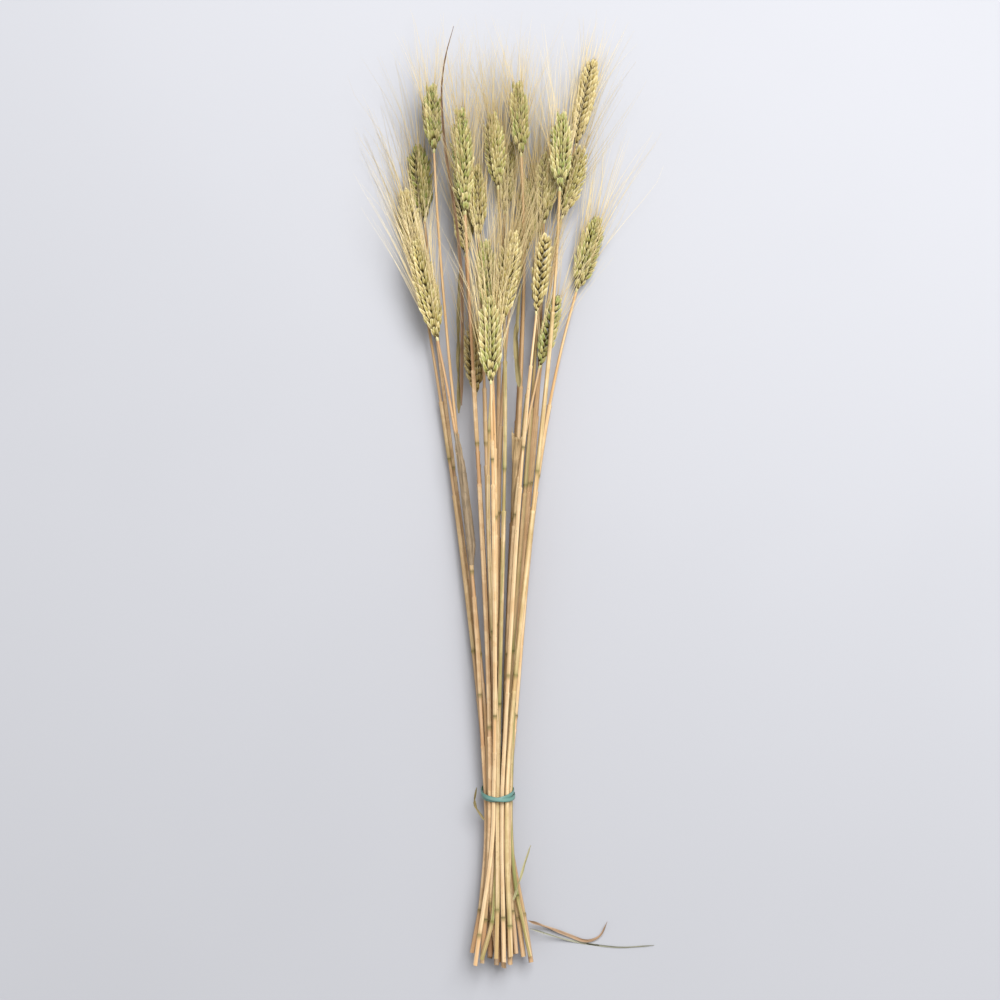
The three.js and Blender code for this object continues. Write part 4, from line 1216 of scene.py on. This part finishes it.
class WHEAT_OT_ears(Operator):
    """Builds the husks of each ear round its stalk"""

    bl_idname = "wheat.ears"
    bl_label = "Ears"

    def execute(self, context):
        settings = context.scene.wheat_ear
        material = husk_material(settings)
        for number, name in enumerate(EARS):
            surface = turned_outwards(ear_surface(name, settings, EAR_SEED + number))
            make_piece(f"husks_{name}", *surface, material, name, "ear_husk")
        return {"FINISHED"}


class WHEAT_OT_awns(Operator):
    """Builds the long awns of each ear"""

    bl_idname = "wheat.awns"
    bl_label = "Awns"

    def execute(self, context):
        settings = context.scene.wheat_awn
        material = awn_material(settings)
        for number, name in enumerate(EARS):
            surface = turned_outwards(awn_surfaces(name, context.scene.wheat_ear, settings, EAR_SEED + number))
            make_piece(f"awns_{name}", *surface, material, name, "ear_husk")
        return {"FINISHED"}


class WHEAT_OT_leaves(Operator):
    """Builds the withered leaves, the two sheaths and the small scraps"""

    bl_idname = "wheat.leaves"
    bl_label = "Leaves"

    def execute(self, context):
        settings = context.scene.wheat_leaf
        kinds = {word: self.material(settings, *kind) for word, kind in LEAF_KINDS.items()}
        for number, name in enumerate(LEAVES):
            material = next(kinds[word] for word in kinds if word in name)
            surface = leaf_surface(name, settings, LEAF_SEED + number)
            make_piece(f"dry_{name}", *surface, material, name, "dry_leaf")
        for number, name in enumerate(SHEATHS):
            surface = sheath_surface(name, settings, SHEATH_SEED + number)
            make_piece(f"dry_{name}", *surface, kinds[name], name, "dry_leaf")
        return {"FINISHED"}

    @staticmethod
    def material(settings, name, tone, edge_tone):
        known = bpy.data.materials.get(name)
        return known or leaf_material(name, tuple(getattr(settings, tone)), edge_tone, tuple(settings.specks))


class WHEAT_OT_band(Operator):
    """Builds the rubber band, wound twice round the stems"""

    bl_idname = "wheat.band"
    bl_label = "Rubber band"

    def execute(self, context):
        settings = context.scene.wheat_band
        material = rubber_material(settings)
        make_piece("wound_rubber_band", *band_surface(settings), material, "rubber_band", "band_rubber")
        return {"FINISHED"}


class WHEAT_OT_stage(Operator):
    """Lays the pale floor, and sets the soft lights and the camera that looks down on the bunch"""

    bl_idname = "wheat.stage"
    bl_label = "Stage"

    def execute(self, context):
        settings = context.scene.wheat_stage
        scene = context.scene
        middle = (cad_low + cad_high) / 2
        mesh = bpy.data.meshes.new("pale_floor")
        far = 6.0
        mesh.from_pydata([(-far, -far, 0), (far, -far, 0), (far, far, 0), (-far, far, 0)], [], [(0, 1, 2, 3)])
        floor = bpy.data.objects.new("pale_floor", mesh)
        scene.collection.objects.link(floor)
        material, tree, shader = new_material("Pale floor", 0.8, 0.1)
        marks = mottling(tree, 2.0)
        # Painted light and shade: the floor's tone runs from 0.94 to 1.05 of its setting, lighter towards the far right
        # and darker towards the near left, as a lamp's fall-off would give.
        near, floor_in_painted_light = (tuple(channel * share for channel in settings.floor) for share in (0.94, 1.05))
        slope = new_node(tree, "ShaderNodeVectorMath", operation="DOT_PRODUCT")
        tree.links.new(new_node(tree, "ShaderNodeTexCoord").outputs["Object"], slope.inputs[0])
        slope.inputs[1].default_value = (0.45, 0.9, 0.0)
        base = mixed(tree, ranged(tree, slope.outputs["Value"], -0.5, 0.5), near, floor_in_painted_light)
        darker = mixed(tree, 1.0, base, (0.985, 0.985, 0.985), "MULTIPLY")
        tree.links.new(mixed(tree, marks["Blotches"], base, darker), shader.inputs["Base Color"])
        mesh.materials.append(material)
        world = bpy.data.worlds.new("Soft room")
        world.use_nodes = True
        world.node_tree.nodes["Background"].inputs["Color"].default_value = (*settings.room, 1.0)
        world.node_tree.nodes["Background"].inputs["Strength"].default_value = settings.room_strength
        scene.world = world
        self.add_light(scene, "Key softbox", (0.8, 1.35, 2.7), middle, 2.0, settings.key_power)
        self.add_light(scene, "Fill softbox", (-1.3, -0.6, 1.6), middle, 1.6, settings.fill_power)
        camera = bpy.data.objects.new("Camera", bpy.data.cameras.new("Camera"))
        camera.data.lens = settings.lens
        camera.location = (middle.x - 4.6 * MM, middle.y - 7 * MM, settings.camera_height)
        scene.collection.objects.link(camera)
        scene.camera = camera
        scene.view_settings.view_transform = "Standard"
        return {"FINISHED"}

    @staticmethod
    def add_light(scene, name, step, middle, size, power):
        """A square soft light a step away from the bunch's middle, turned to face it."""
        data = bpy.data.lights.new(name, "AREA")
        data.shape = "SQUARE"
        data.size = size
        data.energy = power
        light = bpy.data.objects.new(name, data)
        light.location = middle + Vector(step)
        light.rotation_euler = (-Vector(step)).to_track_quat("-Z", "Y").to_euler()
        scene.collection.objects.link(light)


class WHEAT_PT_panel(Panel):
    """Lists the settings and the steps that build the bunch"""

    bl_idname = "WHEAT_PT_panel"
    bl_label = "Dried wheat bunch"
    bl_space_type = "VIEW_3D"
    bl_region_type = "UI"
    bl_category = "Wheat"

    def draw(self, context):
        for group, operator in STEPS:
            box = self.layout.box()
            settings = getattr(context.scene, group)
            for name in type(settings).__annotations__:
                box.prop(settings, name)
            box.operator(operator.bl_idname)


STEPS = (
    ("wheat_straw", WHEAT_OT_stems),
    ("wheat_ear", WHEAT_OT_ears),
    ("wheat_awn", WHEAT_OT_awns),
    ("wheat_leaf", WHEAT_OT_leaves),
    ("wheat_band", WHEAT_OT_band),
    ("wheat_stage", WHEAT_OT_stage),
)
GROUPS = {
    "wheat_straw": WheatStrawSettings,
    "wheat_ear": WheatEarSettings,
    "wheat_awn": WheatAwnSettings,
    "wheat_leaf": WheatLeafSettings,
    "wheat_band": WheatBandSettings,
    "wheat_stage": WheatStageSettings,
}
CLASSES = (*GROUPS.values(), *(operator for _, operator in STEPS), WHEAT_PT_panel)


def register():
    """Adds the classes to Blender and the settings to the scene."""
    for cls in CLASSES:
        bpy.utils.register_class(cls)
    for name, group in GROUPS.items():
        setattr(bpy.types.Scene, name, PointerProperty(type=group))


def unregister():
    """Takes the settings and the classes away again."""
    for name in GROUPS:
        delattr(bpy.types.Scene, name)
    for cls in reversed(CLASSES):
        bpy.utils.unregister_class(cls)


def main():
    register()
    for build in (
        bpy.ops.wheat.stems,
        bpy.ops.wheat.ears,
        bpy.ops.wheat.awns,
        bpy.ops.wheat.leaves,
        bpy.ops.wheat.band,
        bpy.ops.wheat.stage,
    ):
        build()


if __name__ == "__main__":
    main()
